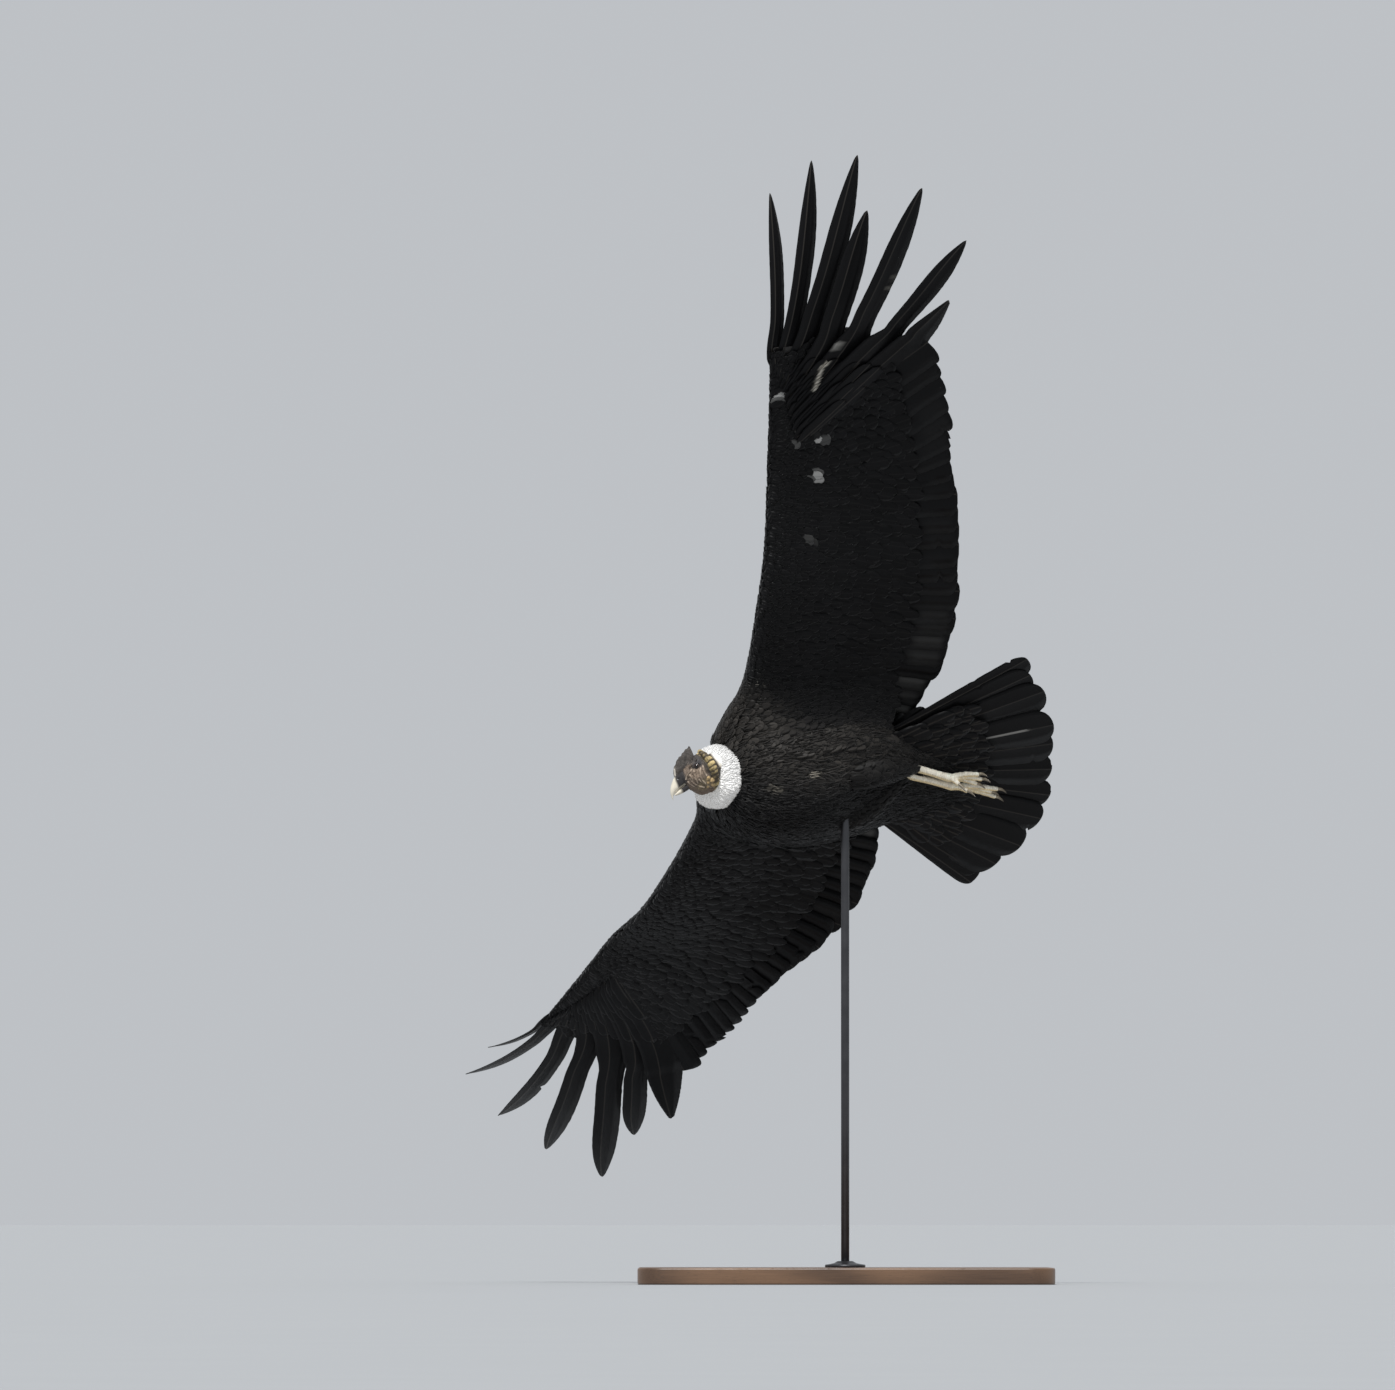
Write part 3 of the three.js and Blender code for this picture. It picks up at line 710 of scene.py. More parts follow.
@dataclass(frozen=True)
class SteelFinish:
    """Blackened steel with a fine turned or drawn grain."""

    name: str = "blackened steel"
    dark: tuple = (0.045, 0.046, 0.05)
    worn: tuple = (0.1, 0.1, 0.105)

    def make(self) -> bpy.types.Material:
        """Makes the material, with faint bands along the rod and small worn spots.

        Returns:
            The material.
        """
        bench = Bench(self.name)
        x, y, z = bench.parts(bench.place())
        drawn = bench.grain(bench.joined(x * 900, y * 900, z * 30), 1.0, 2.0)
        cloud = bench.grain(bench.place(), 24.0, 3.0)
        colour = bench.mixed(cloud, self.dark, self.worn)
        bench.coat(Base_Color=colour, Metallic=0.85, Roughness=drawn * 0.16 + cloud * 0.12 + 0.24)
        bench.bump(drawn, 0.1, 0.0003)
        return bench.material


@dataclass(frozen=True)
class EyeFinish:
    """A wet eye: the colour its surface carries under a clear coat."""

    name: str = "eye"

    def make(self) -> bpy.types.Material:
        """Makes the material, with fine spokes in the iris.

        Returns:
            The material.
        """
        bench = Bench(self.name)
        colour = bench.attribute("tint", "Color")
        flecks = bench.grain(bench.place(), 1500.0, 2.0)
        bench.coat(Base_Color=bench.tinted(colour, flecks * 0.5 + 0.75), Roughness=0.08)
        bench.coat(Coat_Weight=0.35, Coat_Roughness=0.02, Specular_IOR_Level=0.25)
        return bench.material


# Surfaces that feathers grow on


class Sheet:
    """A surface known on an even grid of u and v, on which feathers are laid.

    u runs the way the feathers point and v across them. A place off the grid is on the straight
    continuation of its edge, or round the other side where v is closed.
    """

    def __init__(self, points: np.ndarray, closed: bool, outside: np.ndarray, patch: tuple) -> None:
        """Works out the normals and the lengths of u and v from the grid.

        Args:
            points: rows along u by columns along v by three. A closed v has its first column again as
                its last.
            closed: whether v goes round.
            outside: directions that are roughly outward, one for all points or one for each.
            patch: the sheet's place on the map, as low u, low v, width and height.
        """
        self.points = points
        self.closed = closed
        self.patch = patch
        self.rows, self.columns = points.shape[0] - 1, points.shape[1] - 1
        along = np.gradient(points, axis=0) * self.rows
        if closed:
            ring = np.concatenate([points[:, -2:-1], points, points[:, 1:2]], axis=1)
            across = (ring[:, 2:] - ring[:, :-2]) / 2 * self.columns
        else:
            across = np.gradient(points, axis=1) * self.columns
        normals = unit(np.cross(along, across))
        self.normals = normals * np.sign(np.sum(normals * outside))
        self.along = np.linalg.norm(along, axis=-1)
        self.across = np.linalg.norm(across, axis=-1)

    @staticmethod
    def around(rings: np.ndarray, patch: tuple) -> "Sheet":
        """The sheet over rings of points, u from ring to ring."""
        grid = np.concatenate([rings, rings[:, :1]], axis=1)
        return Sheet(grid, True, grid - rings.mean(1, keepdims=True), patch)

    def read(self, table: np.ndarray, u: np.ndarray, v: np.ndarray) -> np.ndarray:
        """A table's values between the grid's points, blended from the four corners of each cell.

        Args:
            table: a value or a row for each point of the grid.
            u: the places' u.
            v: the places' v.

        Returns:
            A value or a row for each place.
        """
        x = u * self.rows
        y = (np.mod(v, 1.0) if self.closed else v) * self.columns
        i = np.clip(np.floor(x).astype(int), 0, self.rows - 1)
        j = np.clip(np.floor(y).astype(int), 0, self.columns - 1)
        a, b = x - i, y - j
        if table.ndim == 3:
            a, b = a[..., None], b[..., None]
        return (
            table[i, j] * (1 - a) * (1 - b)
            + table[i + 1, j] * a * (1 - b)
            + table[i, j + 1] * (1 - a) * b
            + table[i + 1, j + 1] * a * b
        )

    def scattered(self, rows: np.ndarray, pitch: float, jitter: float, rng: np.random.Generator,
                  low: float = 0.0, high: float = 1.0) -> tuple:
        """Places in staggered rows, evenly spaced along each row by its real length.

        Args:
            rows: u of each row.
            pitch: the distance between places in a row.
            jitter: how far a place may wander, as a share of the spacing.
            rng: the random source.
            low: v where rows start.
            high: v where rows end.

        Returns:
            u and v of every place.
        """
        all_u, all_v = [], []
        samples = np.linspace(low, high, 160)
        for number, u in enumerate(rows):
            lengths = self.read(self.across, np.full(samples.shape, u), samples)
            travelled = np.concatenate([[0], np.cumsum((lengths[1:] + lengths[:-1]) / 2 * np.diff(samples))])
            count = max(int(round(travelled[-1] / pitch)), 1)
            steps = (np.arange(count) + 0.25 + 0.5 * (number % 2)) + rng.uniform(-jitter, jitter, count)
            all_v.append(np.interp(steps / count * travelled[-1], travelled, samples))
            gap = abs(rows[min(number + 1, len(rows) - 1)] - rows[max(number - 1, 0)]) / 2
            all_u.append(u + rng.uniform(-jitter, jitter, count) * gap)
        return np.concatenate(all_u), np.concatenate(all_v)


@dataclass(frozen=True)
class VaneCut:
    """How one kind of feather is cut: its outline and its thickness."""

    shares: tuple = (0.12, 0.4, 0.68, 0.86, 0.96)
    root: float = 0.25
    broadest: float = 0.6
    tip_power: float = 2.4
    crown: float = 0.10
    thickness: float = 0.0005
    across: tuple = (-1.0, -0.45, 0.45, 1.0)

    def outline(self, share: np.ndarray) -> np.ndarray:
        """Half width as a share of the whole: a quarter sine up to the broadest place, then a rounded tip."""
        rise = self.root + (1 - self.root) * np.sin(np.pi / 2 * np.clip(share / self.broadest, 0, 1)) ** 0.8
        return np.where(share < self.broadest, rise, round_end(share, self.broadest, self.tip_power, 0.0))

    def ring(self) -> tuple:
        """Across values and heights of one ring: over the top, then one keel below. Heights are -1 below."""
        return np.append(self.across, 0.0), np.append(np.zeros(len(self.across)), -1.0)


CONTOUR = VaneCut(shares=(0.14, 0.42, 0.68, 0.87, 0.965), broadest=0.55, tip_power=1.9, crown=0.03)
STRAND = VaneCut(shares=(0.2, 0.5, 0.82), root=0.4, broadest=0.4, tip_power=1.2, crown=0.02,
                 across=(-1.0, 1.0), thickness=0.0003)
COVERT = VaneCut(shares=(0.1, 0.35, 0.62, 0.82, 0.93, 0.985), broadest=0.66)
TUFT = VaneCut(shares=(0.1, 0.45, 0.8), root=0.5, broadest=0.35, tip_power=1.3, crown=0.05,
               across=(-1.0, 1.0), thickness=0.0004)


@dataclass
class Plumage:
    """Feathers of one piece, gathered in batches and then made a mesh."""

    points: list = field(default_factory=list)
    faces: list = field(default_factory=list)
    vanes: list = field(default_factory=list)
    colours: list = field(default_factory=list)
    places: list = field(default_factory=list)
    count: int = 0

    def add(self, points: np.ndarray, ring: int, vanes: np.ndarray, colours: np.ndarray,
            places: np.ndarray) -> None:
        """Adds closed blades, each with a root point, rings and a tip point.

        Args:
            points: feathers by (2 + rings * ring) by three, the root first and the tip last.
            ring: how many points a ring has.
            vanes: the distance across, the distance along and a chance for each point.
            colours: a colour for each point.
            places: the place on the map of each point.
        """
        number, size = points.shape[:2]
        rows = (size - 2) // ring
        here = np.arange(ring)
        after = (here + 1) % ring
        zero = np.zeros(ring, int)
        last = 1 + (rows - 1) * ring
        root = np.stack([zero, after + 1, here + 1, here + 1], -1)
        tip = np.stack([zero + size - 1, last + here, last + after, last + after], -1)
        one = np.vstack([grid_faces(rows, ring) + 1, root, tip])
        one = facing_out(points[0], one)
        faces = (one[None] + (np.arange(number) * size)[:, None, None]).reshape(-1, 4) + self.count
        self.count += number * size
        self.points.append(points.reshape(-1, 3))
        self.faces.append(faces)
        self.vanes.append(vanes.reshape(-1, 3))
        self.colours.append(np.broadcast_to(colours, points.shape).reshape(-1, 3))
        self.places.append(places.reshape(-1, 2))

    def lay(self, tone: Callable, cut: VaneCut, *laid: object) -> None:
        """Lays feathers on a sheet and adds them.

        Args:
            tone: gives colours that broadcast with the points, from the points and the chances.
            cut: the outline.
            laid: the other values that lay_feathers takes.
        """
        points, vanes, places, chance = lay_feathers(cut, *laid)
        self.add(points, len(cut.ring()[0]), vanes, tone(points, chance), places)

    def streak(self, stops: tuple, reach: float, colour: tuple) -> None:
        """Mixes a colour into the points near a line, less the farther they are from it, in millimetres.

        Args:
            stops: points on the line, in millimetres.
            reach: how far the colour goes.
            colour: the colour.
        """
        line = traced(metres(stops), 60)
        for number, points in enumerate(self.points):
            gap = np.sqrt(((points[:, None] - line[None]) ** 2).sum(-1).min(1)) / MM
            near = (1 - ease(0.35, 1.0, gap / reach))[:, None]
            self.colours[number] = mixed(self.colours[number], colour, near)

    def show(self, name: str, finish: bpy.types.Material, slot: str = "feather", nodes: tuple = ()) -> None:
        """Makes one mesh of all batches, out of the bird's axes, and shows it with its attributes and map.

        Args:
            name: the piece's name.
            finish: its material.
            nodes: the solids it stands for.
        """
        made = make_mesh(name, BIRD.out(np.vstack(self.points)), np.vstack(self.faces))
        write_vectors(made, "vane", np.vstack(self.vanes))
        write_colours(made, "plumage", np.vstack(self.colours))
        write_map(made, np.vstack(self.places))
        show(name, made, finish, nodes)


def lay_feathers(cut: VaneCut, sheet: Sheet, u: np.ndarray, v: np.ndarray, length: np.ndarray,
                 width: np.ndarray, rng: np.random.Generator, sink: float, lift: float, turn: np.ndarray,
                 mirror: bool = False) -> tuple:
    """Lays feathers on a sheet, each following its curve.

    A point of a feather is the sheet's point at the root's u and v plus the distance along and across, each
    divided by the sheet's own length there, raised along the normal. The height starts sunk at the root,
    rises with the square root of the share along, and is lower towards the edges and on the lower side.

    Args:
        cut: the outline.
        sheet: the surface.
        u: each root's u.
        v: each root's v.
        length: each feather's length.
        width: each feather's greatest width.
        rng: the random source.
        sink: how deep roots are below the surface.
        lift: how high tips stand above it.
        turn: each feather's turn from the u direction, in radians.
        mirror: whether y changes sign afterwards.

    Returns:
        The points, vanes and places on the map, each feathers by points, and each feather's chance.
    """
    number = len(u)
    across, level = cut.ring()
    shares = np.array(cut.shares)
    half = cut.outline(shares)
    a = np.concatenate([[0.0], np.repeat(shares, len(across)), [1.0]])
    c = np.concatenate([[0.0], (half[:, None] * across).ravel(), [0.0]])
    edge = np.concatenate([[0.0], np.tile(np.where(level < 0, 0.7, across), len(shares)), [0.0]])
    below = np.concatenate([[0.0], np.tile(level, len(shares)), [0.0]])
    chance = rng.uniform(0, 1, number)
    bend = rng.uniform(-0.09, 0.09, number)[:, None]
    along = length[:, None] * a
    sideways = width[:, None] / 2 * c + bend * along * a
    cosine, sine = np.cos(turn)[:, None], np.sin(turn)[:, None]
    root_along = np.maximum(sheet.read(sheet.along, u, v), 1e-3)[:, None]
    root_across = np.maximum(sheet.read(sheet.across, u, v), 1e-3)[:, None]
    uu = u[:, None] + (along * cosine - sideways * sine) / root_along
    vv = v[:, None] + (along * sine + sideways * cosine) / root_across
    rise = rng.uniform(0.75, 1.25, number)[:, None]
    height = -sink + (lift * rise + sink) * np.sqrt(a)
    height = height + cut.crown * width[:, None] * (0.5 - edge**2) * np.minimum(1, a * 3) * (1 - a)
    height = height + below * cut.thickness * (1 - 0.6 * a)
    points = sheet.read(sheet.points, uu, vv) + sheet.read(sheet.normals, uu, vv) * height[..., None]
    if mirror:
        points = points * np.array([1, -1, 1])
    vanes = np.stack([sideways, along, np.broadcast_to(chance[:, None], along.shape)], -1)
    low_u, low_v, wide, high = sheet.patch
    base = np.stack([low_u + wide * np.clip(u, 0, 1), low_v + high * np.clip(np.mod(v, 1.0), 0, 1)], -1)
    local = np.stack([np.broadcast_to(c * 0.5, along.shape), np.broadcast_to(a - 0.5, along.shape)], -1)
    return points, vanes, base[:, None] + FEATHER_PATCH * local, chance


@dataclass(frozen=True)
class Quills:
    """Long flight feathers: a shaft with a vane on each side, thin and closed.

    A ring goes over the top from the trailing edge to the leading edge, then back below. The shaft is a
    ridge at the middle. Each vane droops with the square of the distance from the shaft, and its edge has
    small notches where the barbs have parted.
    """

    over: tuple = (-1.0, -0.8, -0.55, -0.3, -0.07, 0.0, 0.09, 0.4, 0.75, 1.0)
    below: tuple = (0.75, 0.09, 0.0, -0.07, -0.5)
    thickness: float = 0.0007
    shaft: float = 0.0015
    droop: float = 0.018
    splits: float = 0.02
    map_low: float = 0.02

    @property
    def across(self) -> np.ndarray:
        """Where a ring's points are, as a share of the vane on their side."""
        return np.array(self.over + self.below)

    def add(self, plumage: Plumage, path: np.ndarray, ups: np.ndarray, leading: np.ndarray,
            trailing: np.ndarray, tilt: np.ndarray, colours: np.ndarray, rng: np.random.Generator,
            mirror: bool = False, first: int = 0, total: int = 0) -> None:
        """Adds feathers that have the same number of stations.

        Args:
            plumage: the piece they go to.
            path: feathers by stations by three, the shafts.
            ups: the direction of each feather's upper face at each station.
            leading: the width of the leading vane at each station.
            trailing: the width of the trailing vane at each station.
            tilt: how far the leading vane is raised, as a slope, for each feather.
            colours: feathers by stations by ring by three.
            rng: the random source.
            mirror: whether y changes sign afterwards.
            first: the number of the first feather on the map.
            total: how many feathers share the map.
        """
        number, stations = path.shape[:2]
        c = self.across
        under = np.concatenate([np.zeros(len(self.over)), np.ones(len(self.below))])
        along = unit(np.gradient(path, axis=1))
        side = unit(np.cross(along, ups))
        up = np.cross(side, along)
        share = np.linspace(0, 1, stations)
        shape = (number, stations, 2)
        edge = 1 - 0.03 * rng.uniform(0, 1, shape)
        split = (rng.uniform(0, 1, shape) < self.splits) & (share[None, :, None] > 0.3)
        edge = np.where(split, 1 - rng.uniform(0.1, 0.34, shape), edge)
        ahead, behind = leading * edge[..., 0], trailing * edge[..., 1]
        sideways = c * np.where(c > 0, ahead[..., None], behind[..., None])
        full = (leading + trailing)[..., None]
        wave = 0.0006 * rng.normal(0, 1, (number, 1, 1)) * np.sin(9 * share[None, :, None] + c * 2)
        taper = (1 - 0.75 * share)[None, :, None]
        ridge = np.where(np.abs(c) < 0.01, self.shaft, 0) * taper
        height = tilt[:, None, None] * sideways - self.droop * full * np.abs(c) ** 2 * 0.5 + wave * np.abs(c)
        height = height + np.where(under > 0, -self.thickness * (1 - np.abs(c) * 0.5) - ridge * 0.8, ridge)
        spread = side[:, :, None] * sideways[..., None] + up[:, :, None] * height[..., None]
        points = path[:, :, None] + spread
        lengths = np.linalg.norm(np.diff(path, axis=1), axis=-1)
        travelled = np.concatenate([np.zeros((number, 1)), np.cumsum(lengths, axis=1)], axis=1)
        chance = np.broadcast_to(rng.uniform(0, 1, number)[:, None, None], sideways.shape)
        vanes = np.stack([sideways, np.broadcast_to(travelled[..., None], sideways.shape), chance], -1)
        total = max(total, number)
        slot = (first + np.arange(number) + 0.5)[:, None, None] / total
        low = self.map_low
        places = stacked(slot + 0.44 / total * c, low + (1 - 2 * low) * share[None, :, None])
        if mirror:
            points = points * np.array([1, -1, 1])

        def closed(table: np.ndarray) -> np.ndarray:
            """The middle of the first ring, the inner rings one after another, and the middle of the last.

            Args:
                table: feathers by stations by ring by numbers.

            Returns:
                Feathers by points by numbers.
            """
            ends = table[:, [0, -1]].mean(2)
            inner = table[:, 1:-1].reshape(number, -1, table.shape[-1])
            return np.concatenate([ends[:, :1], inner, ends[:, 1:]], axis=1)

        plumage.add(closed(points), len(c), closed(vanes), closed(np.broadcast_to(colours, points.shape)),
                    closed(places))


def even_steps(shape: object, low: float, high: float, count: int) -> np.ndarray:
    """Values of a surface's parameter at which its rows are evenly far apart on average.

    Args:
        shape: gives the rows for an array of values.
        low: the first value.
        high: the last value.
        count: how many values.

    Returns:
        The values.
    """
    fine = low + (high - low) * np.linspace(0, 1, 400) ** 1.5
    steps = np.linalg.norm(np.diff(shape(fine), axis=0), axis=-1).mean(1)
    travelled = np.concatenate([[0], np.cumsum(steps)])
    return np.interp(np.linspace(0, travelled[-1], count), travelled, fine)


def tube(path: np.ndarray, radii: np.ndarray, sides: int, rings: int, flat: float = 1.0) -> np.ndarray:
    """Rings round a smooth path: the path plus radius times cosine and sine of the turn along two normals.

    Args:
        path: the stations of the middle line.
        radii: the radius at each station.
        sides: points in a ring.
        rings: number of rings.
        flat: the second radius as a share of the first.

    Returns:
        Rings by points by three.
    """
    curve = traced(np.hstack([path, radii[:, None]]), rings)
    middle, radius = curve[:, :3], curve[:, 3]
    along = unit(np.gradient(middle, axis=0))
    guide = np.array([0.05, 0.1, 1.0])
    first = unit(np.cross(along, guide))
    second = np.cross(first, along)
    turn = circle(sides)[None, :, None]
    around = np.cos(turn) * first[:, None] + flat * np.sin(turn) * second[:, None]
    return middle[:, None] + around * radius[:, None, None]


def blob(centre: tuple, radii: tuple, turn: float = 0.0, lean: float = 0.0) -> tuple:
    """An ellipsoid, its long axis turned about y and then leant about x, in degrees, as points and faces.

    Args:
        centre: its middle.
        radii: its radii along x, y and z.
        turn: degrees about y.
        lean: degrees about x.

    Returns:
        The points and the faces.
    """
    angle = np.linspace(0, np.pi, 12)[1:-1, None]
    around = circle(16)
    rings = stacked(np.cos(angle), np.sin(angle) * np.cos(around), np.sin(angle) * np.sin(around))
    points, faces = capped_tube(rings)
    points[-2:] = [[1, 0, 0], [-1, 0, 0]]
    return Axes(centre, (lean, turn, 0.0)).out(points * np.array(radii)), faces


def gathered(parts: list) -> tuple:
    """Several closed skins as one list of points and one of faces."""
    counts = np.concatenate([[0], np.cumsum([len(points) for points, _ in parts])[:-1]])
    return np.vstack([p for p, _ in parts]), np.vstack([f + n for (_, f), n in zip(parts, counts)])


def temporary(name: str, part: tuple) -> bpy.types.Object:
    """An object that modifiers work on before it is removed.

    Args:
        name: its name.
        part: points and faces.

    Returns:
        The object.
    """
    made = bpy.data.objects.new(name, make_mesh(name, *part))
    bpy.context.scene.collection.objects.link(made)
    return made


def worked(made: bpy.types.Object) -> bpy.types.Mesh:
    """The mesh of an object after its modifiers. The object is removed.

    Args:
        made: the object.

    Returns:
        The mesh.
    """
    graph = bpy.context.evaluated_depsgraph_get()
    mesh = bpy.data.meshes.new_from_object(made.evaluated_get(graph))
    bpy.data.objects.remove(made)
    return mesh


def melted(name: str, part: tuple, voxel: float, smooth: int) -> bpy.types.Object:
    """Overlapping closed skins made one smooth skin, through small cubes of one size.

    Args:
        name: the object's name.
        part: points and faces.
        voxel: the size of the cubes.
        smooth: how often it is smoothed.

    Returns:
        A temporary object.
    """
    made = temporary(name, part)
    remesh = made.modifiers.new("melt", "REMESH")
    remesh.mode = "VOXEL"
    remesh.voxel_size = voxel
    remesh.adaptivity = 0.0
    softened = made.modifiers.new("soften", "SMOOTH")
    softened.factor = 0.5
    softened.iterations = smooth
    mesh = worked(made)
    result = bpy.data.objects.new(name, mesh)
    bpy.context.scene.collection.objects.link(result)
    return result


# The bird's own shapes


@dataclass(frozen=True)
class BodyShape:
    """The trunk and rump: an oval that changes from station to station.

    A point of an oval is half the width times the cosine of the turn, narrowed by the square of the sine,
    and the height above or below the middle times the sine.
    """

    stations: tuple = (
        (112, -30, 46, 30, 40), (102, -28, 76, 52, 70), (78, -26, 108, 72, 100), (36, -23, 136, 84, 126),
        (-30, -20, 156, 84, 136), (-100, -18, 168, 78, 132), (-165, -16, 172, 68, 112),
        (-215, -15, 168, 56, 92), (-256, -16, 156, 46, 76), (-300, -23, 132, 36, 52),
        (-345, -31, 108, 24, 37), (-400, -40, 84, 13, 23), (-448, -47, 54, 6, 9),
    )
    back_pinch: float = 0.25
    belly_pinch: float = 0.1

    def place(self, stations: np.ndarray, turns: np.ndarray, inset: float = 0.0) -> np.ndarray:
        """Points at some stations and turns, where a turn is from 0 to 1, a given depth under the surface.

        Args:
            stations: stations from the breast back, whole or between.
            turns: shares of a turn, a quarter being the back.
            inset: the depth under the surface.

        Returns:
            The points.
        """
        x, z, half, up, down = np.moveaxis(through(metres(self.stations), stations), -1, 0)
        sine, cosine = np.sin(2 * np.pi * turns), np.cos(2 * np.pi * turns)
        pinch = np.where(sine > 0, self.back_pinch, self.belly_pinch)
        rise = np.maximum(np.where(sine > 0, up, down) - inset, 0.002)
        wide = np.maximum(half - inset, 0.004) * (1 - pinch * sine**2)
        return stacked(x, wide * cosine, z + rise * sine)

    def sheet(self) -> Sheet:
        """The surface for feathers, u from the breast to the tail and v round the body.

        Returns:
            The sheet.
        """
        turns = np.linspace(0, 1, 97)
        stations = even_steps(lambda s: self.place(s[:, None], turns), 0.0, len(self.stations) - 1, 91)
        points = self.place(stations[:, None], turns)
        return Sheet(points, True, points - points[:, :-1].mean(1, keepdims=True), (0.03, 0.03, 0.75, 0.94))

    def flesh(self, inset: float) -> tuple:
        """The body's closed skin, under its coat."""
        stations = np.linspace(0.25, len(self.stations) - 1.2, 48)
        return capped_tube(self.place(stations[:, None], np.linspace(0, 1, 56, endpoint=False), inset))


@dataclass(frozen=True)
class WingShape:
    """A wing in its left-hand form, between a leading and a trailing edge.

    A point is the leading edge plus a share of the chord, raised by the camber, four times the share times
    what is left of it, and then above or below that by the sheet of feathers and the swell of the arm, the
    sine of half a turn over the square root of twice the share.
    """

    side: Side
    lead: tuple = (
        (118, 60, 34), (102, 120, 46), (81, 190, 57), (79, 270, 71), (90, 390, 86), (101, 540, 123),
        (116, 690, 188), (136, 800, 210), (163, 940, 236), (181, 1024, 252),
    )
    arm: tuple = (66, 62, 56, 50, 42, 36, 30, 22, 13, 8)
    sheet_depth: float = 0.004
    camber: float = 0.035
    cover: float = 0.0035
    covered: float = 0.8
    root_middle: float = 0.16
    root_depth: float = 0.045

    @property
    def trail(self) -> tuple:
        """The trailing edge, which differs from side to side.

        Returns:
            A point for each station.
        """
        if self.side is Side.LEFT:
            return (
                (-250, 60, -12), (-275, 120, -4), (-303, 190, -2), (-322, 270, 0), (-340, 390, 9),
                (-320, 540, 22), (-293, 690, 57), (-260, 820, 98), (-208, 985, 156), (-154, 1112, 186),
            )
        return (
            (-310, 60, -12), (-334, 120, -4), (-322, 190, -2), (-338, 270, 0), (-343, 390, 9),
            (-304, 540, 22), (-247, 690, 57), (-224, 820, 98), (-205, 985, 156), (-173, 1112, 186),
        )

    def lines(self, stations: np.ndarray) -> tuple:
        """The leading edge, the unit direction back, the chord's length and the unit direction up.

        Args:
            stations: stations along the wing, whole or between.

        Returns:
            The four, each with a row or a number for each station.
        """
        table = metres(self.lead)
        lead = through(table, stations)
        chord = through(metres(self.trail), stations) - lead
        ahead = through(table, stations + 0.1) - through(table, stations - 0.1)
        return lead, unit(chord), np.linalg.norm(chord, axis=-1), unit(np.cross(unit(ahead), unit(chord)))

    def swell(self, stations: np.ndarray, shares: np.ndarray) -> np.ndarray:
        """Half the thickness of the arm."""
        arm = np.interp(stations, np.arange(len(self.arm)), metres(self.arm))
        return arm / 2 * np.where(shares < 0.5, np.sin(np.pi * np.sqrt(np.clip(shares, 0, 0.5) / 0.5)), 0)

    def place(self, stations: np.ndarray, shares: np.ndarray, face: float, inset: float = 0.0) -> np.ndarray:
        """Points of the wing, where face is 1 above, -1 below and 0 in the middle of the sheet.

        Args:
            stations: stations along the wing, whole or between.
            shares: shares of the chord, from the leading edge back.
            face: a number from -1 to 1.
            inset: the depth under the surface.

        Returns:
            The points.
        """
        lead, back, length, up = self.lines(stations)
        half = self.sheet_depth * (1 - 0.5 * shares) / 2 + self.swell(stations, shares) - inset
        half = np.maximum(half, 0.0012)
        height = self.camber * length * 4 * shares * (1 - shares) + face * half
        return lead + back * (shares * length)[..., None] + up * height[..., None]

    def slope(self, stations: np.ndarray, shares: np.ndarray) -> np.ndarray:
        """The unit direction up from the middle sheet: the cross product of its steps outwards and back.

        Args:
            stations: stations along the wing, whole or between.
            shares: shares of the chord, from the leading edge back.

        Returns:
            The directions.
        """
        outwards = self.place(stations + 0.05, shares, 0.0) - self.place(stations - 0.05, shares, 0.0)
        back = self.place(stations, shares + 0.01, 0.0) - self.place(stations, shares - 0.01, 0.0)
        return unit(np.cross(outwards, back))

    def sheet(self, face: Face) -> Sheet:
        """One face as a surface for feathers, u from the leading edge back and v outwards.

        Args:
            face: the wing's face.

        Returns:
            The sheet.
        """
        stations = np.linspace(0, len(self.lead) - 1, 91)

        def row(q: np.ndarray) -> np.ndarray:
            """The rows at some roots of the share of the chord."""
            shares = (q**2)[:, None] * np.ones(len(stations))
            return self.place(stations[None], shares, face.value, -self.cover * ease(0.12, 0.36, shares))

        points = row(even_steps(row, 0.0, math.sqrt(self.covered), 65))
        up = self.lines(stations)[3] * face.value
        return Sheet(points, False, up[None], (0.03, 0.03, 0.94 * self.covered * 0.4, 0.94))

    def nose(self) -> Sheet:
        """The rounded leading edge as a surface for feathers, u outwards and v from below to above.

        Returns:
            The sheet.
        """
        stations = np.linspace(0.0, 8.95, 91)[:, None]
        q = np.linspace(-0.24, 0.24, 17)[None]
        points = self.place(stations, q**2 * np.ones_like(stations), np.clip(q / 0.03, -1, 1), -0.0006)
        middle = self.place(stations, 0.05 * np.ones_like(stations), 0.0)
        return Sheet(points, False, points - middle, (0.5, 0.03, 0.1, 0.94))

    def flesh(self, inset: float) -> tuple:
        """The arm's closed skin, under its coverts.

        Args:
            inset: the depth under the surface.

        Returns:
            The points and the faces.
        """
        stations = np.linspace(0.0, 8.9, 54)[:, None]
        shares = np.concatenate([np.linspace(0.14, 0.62, 12) ** 2, np.linspace(0.60, 0.16, 11) ** 2])
        faces = np.concatenate([-np.ones(12), np.ones(11)])
        points = self.place(stations * np.ones(23), shares * np.ones((54, 1)), faces, inset)
        end = self.rounded(points[0][:, None], np.radians([[78, 60, 40, 20]]), 0.006)
        points = np.concatenate([end.transpose(1, 0, 2), points])
        return capped_tube(points * np.array([1, self.side.value, 1]))

